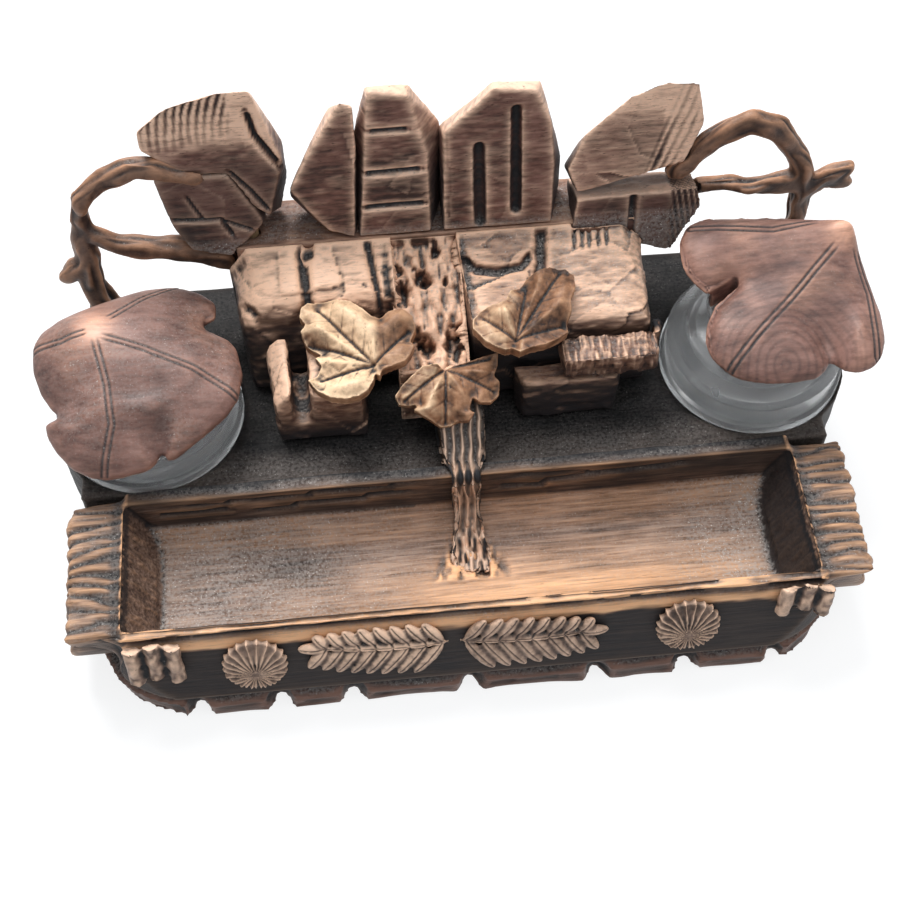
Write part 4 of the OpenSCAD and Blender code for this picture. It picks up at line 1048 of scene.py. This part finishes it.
# How dusty each lid is, its body, its well, its peak, how late its slope falls, its outline, the
# height of its rim at each angle round the peak, and its veins
lids = {
    "lid_left": (0.3, "leaf_left", well_places["glass_well_left"], (-126, 28, 88), 2.1, [
        (-150.2, 29.5), (-150, 20.5), (-147.5, 12.7), (-143.9, 7), (-141, 4.5), (-146, 1), (-145.5, -3),
        (-142.2, -8.8), (-137.1, -14.3), (-131, -17.5), (-125, -18.3), (-116.5, -17.9), (-109.8, -16.6),
        (-106.6, -13), (-105.4, -8), (-104, -14), (-100.4, -13.8), (-94.8, -10.3), (-88, -6), (-81.9, -1.5),
        (-77, 4.5), (-75, 14.3), (-76.9, 24.8), (-80, 29), (-88.6, 34.4), (-89, 36.4), (-84.2, 38.7),
        (-84, 45.3), (-89.6, 50.2), (-98.7, 54), (-111.5, 53.6), (-125.9, 47.9), (-139.7, 40.8),
        (-147, 35.5)],
        [(-180, 80), (-130, 73), (-105, 66), (-90, 63.5), (-60, 66), (-25, 74), (0, 77), (45, 79), (90, 80),
         (135, 82), (180, 80)],
        [[(-125, 26), (-108, 20), (-92, 13), (-78, 5)], [(-126, 26), (-122, 8), (-121, -5), (-126, -18)],
         [(-128, 28), (-138, 26), (-149, 27)], [(-122, 33), (-110, 44), (-98, 53)]]),
    "lid_right": (0.1, "leaf_right", well_places["glass_well_right"], (147, 38, 101.5), 1.7, [
        (148.8, 44.5), (138.6, 47), (120.6, 49.5), (106.1, 51), (96, 51.5), (90, 48.5), (86.5, 43),
        (85.6, 37), (86.5, 31), (89.4, 26), (93.7, 22.3), (105.5, 27.6), (106.5, 26), (96.5, 18.8),
        (91.8, 11.6), (90.3, 5), (91.5, -0.8), (95, -5), (99.5, -8.3), (106, -11), (113, -12.4),
        (121.3, -12.6), (128.6, -11.6), (132.6, -8.2), (133.4, 1), (134.6, -6.4), (137.5, -11),
        (142, -13.2), (147.5, -12), (151.5, -8), (154.2, -1.6), (155, 9), (154.2, 18), (153, 30),
        (151.5, 38)],
        [(-180, 95), (-170, 92), (-150, 84), (-135, 80), (-110, 80.5), (-90, 84), (-70, 87), (-20, 92),
         (40, 95), (90, 96), (170, 97), (180, 95)],
        [[(143, 34), (128, 20), (112, 6), (97, -7)], [(138, 43), (120, 41), (105, 43.5), (91, 46)],
         [(149, 33), (151, 15), (149, -9)]]),
}
lid_blank = 4
# The height that clears the glass at each distance from the well's middle
above_glass = ((0, 22, 28.5, 36, 37), (76.5, 76.5, 67, 58, 40))
for i, (name, (dusty, body, well, peak, droop, outline, rims, veins)) in enumerate(lids.items()):
    lid = from_blank(name + "_carved", body, outline, thick=lid_blank, cell=0.9)

    def off_well(p):
        """How far each point lies from the middle of the well below."""
        return np.linalg.norm(p[:, :2] - well, axis=1)

    p, _ = surface(lid)
    away = p[:, :2] - peak[:2]
    angle = np.degrees(np.arctan2(away[:, 1], away[:, 0]))
    reach = np.linalg.norm(away, axis=1)
    rim, _ = line(p[:, :2], outline + outline[:1])
    from_well = off_well(p)
    spread = reach / (reach + rim)
    slope = (peak[2] - np.interp(angle, *zip(*rims))) * spread ** droop
    top = peak[2] - slope - 1.5 * np.exp(-(rim / 2) ** 2)
    # The underside stays clear of the glass, and a boss reaches down to its lip
    below = np.maximum(top - 3.4, np.interp(from_well, *above_glass))
    top = np.maximum(top, below + 2 + 2 * np.exp(-((from_well - 23) / 4.5) ** 2))
    below = np.where(from_well < 20.4, 76.1, below)
    p[:, 2] = below + (top - below) * held(p[:, 2] / lid_blank + 1)
    move_to(lid, p)
    evenly(lid, 0.45)
    soften(lid, 12, lambda p: ramp(p[:, 2], 77, 78.5) + (off_well(p) > 22))
    # The top is rubbed smooth over the boss, and keeps its peak
    soften(lid, 130, lambda p: held(3 * surface(lid)[1][:, 2] - 0.5)
           * ramp(off_well(p), 36, 31)
           * held(np.linalg.norm(p - peak, axis=1) / 8 - 0.5))

    def facing_up(n):
        return held(3 * n[:, 2] - 0.3)

    def vein_lines(p):
        """How deep in a vein's double line each point lies."""
        deep = 0.0
        for vein in veins:
            d, share = line(p[:, :2], vein)
            deep = np.maximum(deep, np.exp(-((d - 1.0) / 0.42) ** 2) * held(15 * (share - 0.02)))
        return deep

    def lid_marks(p, n):
        return -0.4 * vein_lines(p) * facing_up(n) - 0.15 * swell(p, 6, 70 + i, 2)

    def lid_wear(p, n, wear, dirt, dust):
        """Pale at the peak and in patches, with year rings on the right lid only."""
        near = np.linalg.norm(p - peak, axis=1)
        year = np.hypot(p[:, 0] - well[0], p[:, 1] - well[1] + 32) + 3 * swell(p, 14, 93, 2)
        rings = 0.3 * held(np.sin(year * 2.2)) * held(1.5 - year / 32)
        rings = rings * (name == "lid_right")
        smudge = 0.35 * held(2.5 * swell(p, 16, 95 + i, 3) - 1.4)
        patch = held(2.5 * swell(p, 18, 96 + i, 3) - 1.3)
        pale_tone = 0.9 * np.exp(-(near / 7) ** 2) + 0.35 * facing_up(n) * patch
        return wear + pale_tone, np.maximum(dirt, facing_up(n) * vein_lines(p)) + rings + smudge, dust

    carve(lid, lid_marks)
    weather(lid, edge=0.35, hollow=0.8, dust=dusty, seed=50 + i, extra=lid_wear)
    finished(lid, lid_finish)
    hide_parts(name)
for name in ("lid_plug_left", "lid_plug_right"):
    frame["nodes"][name].data.materials[0] = lid_finish
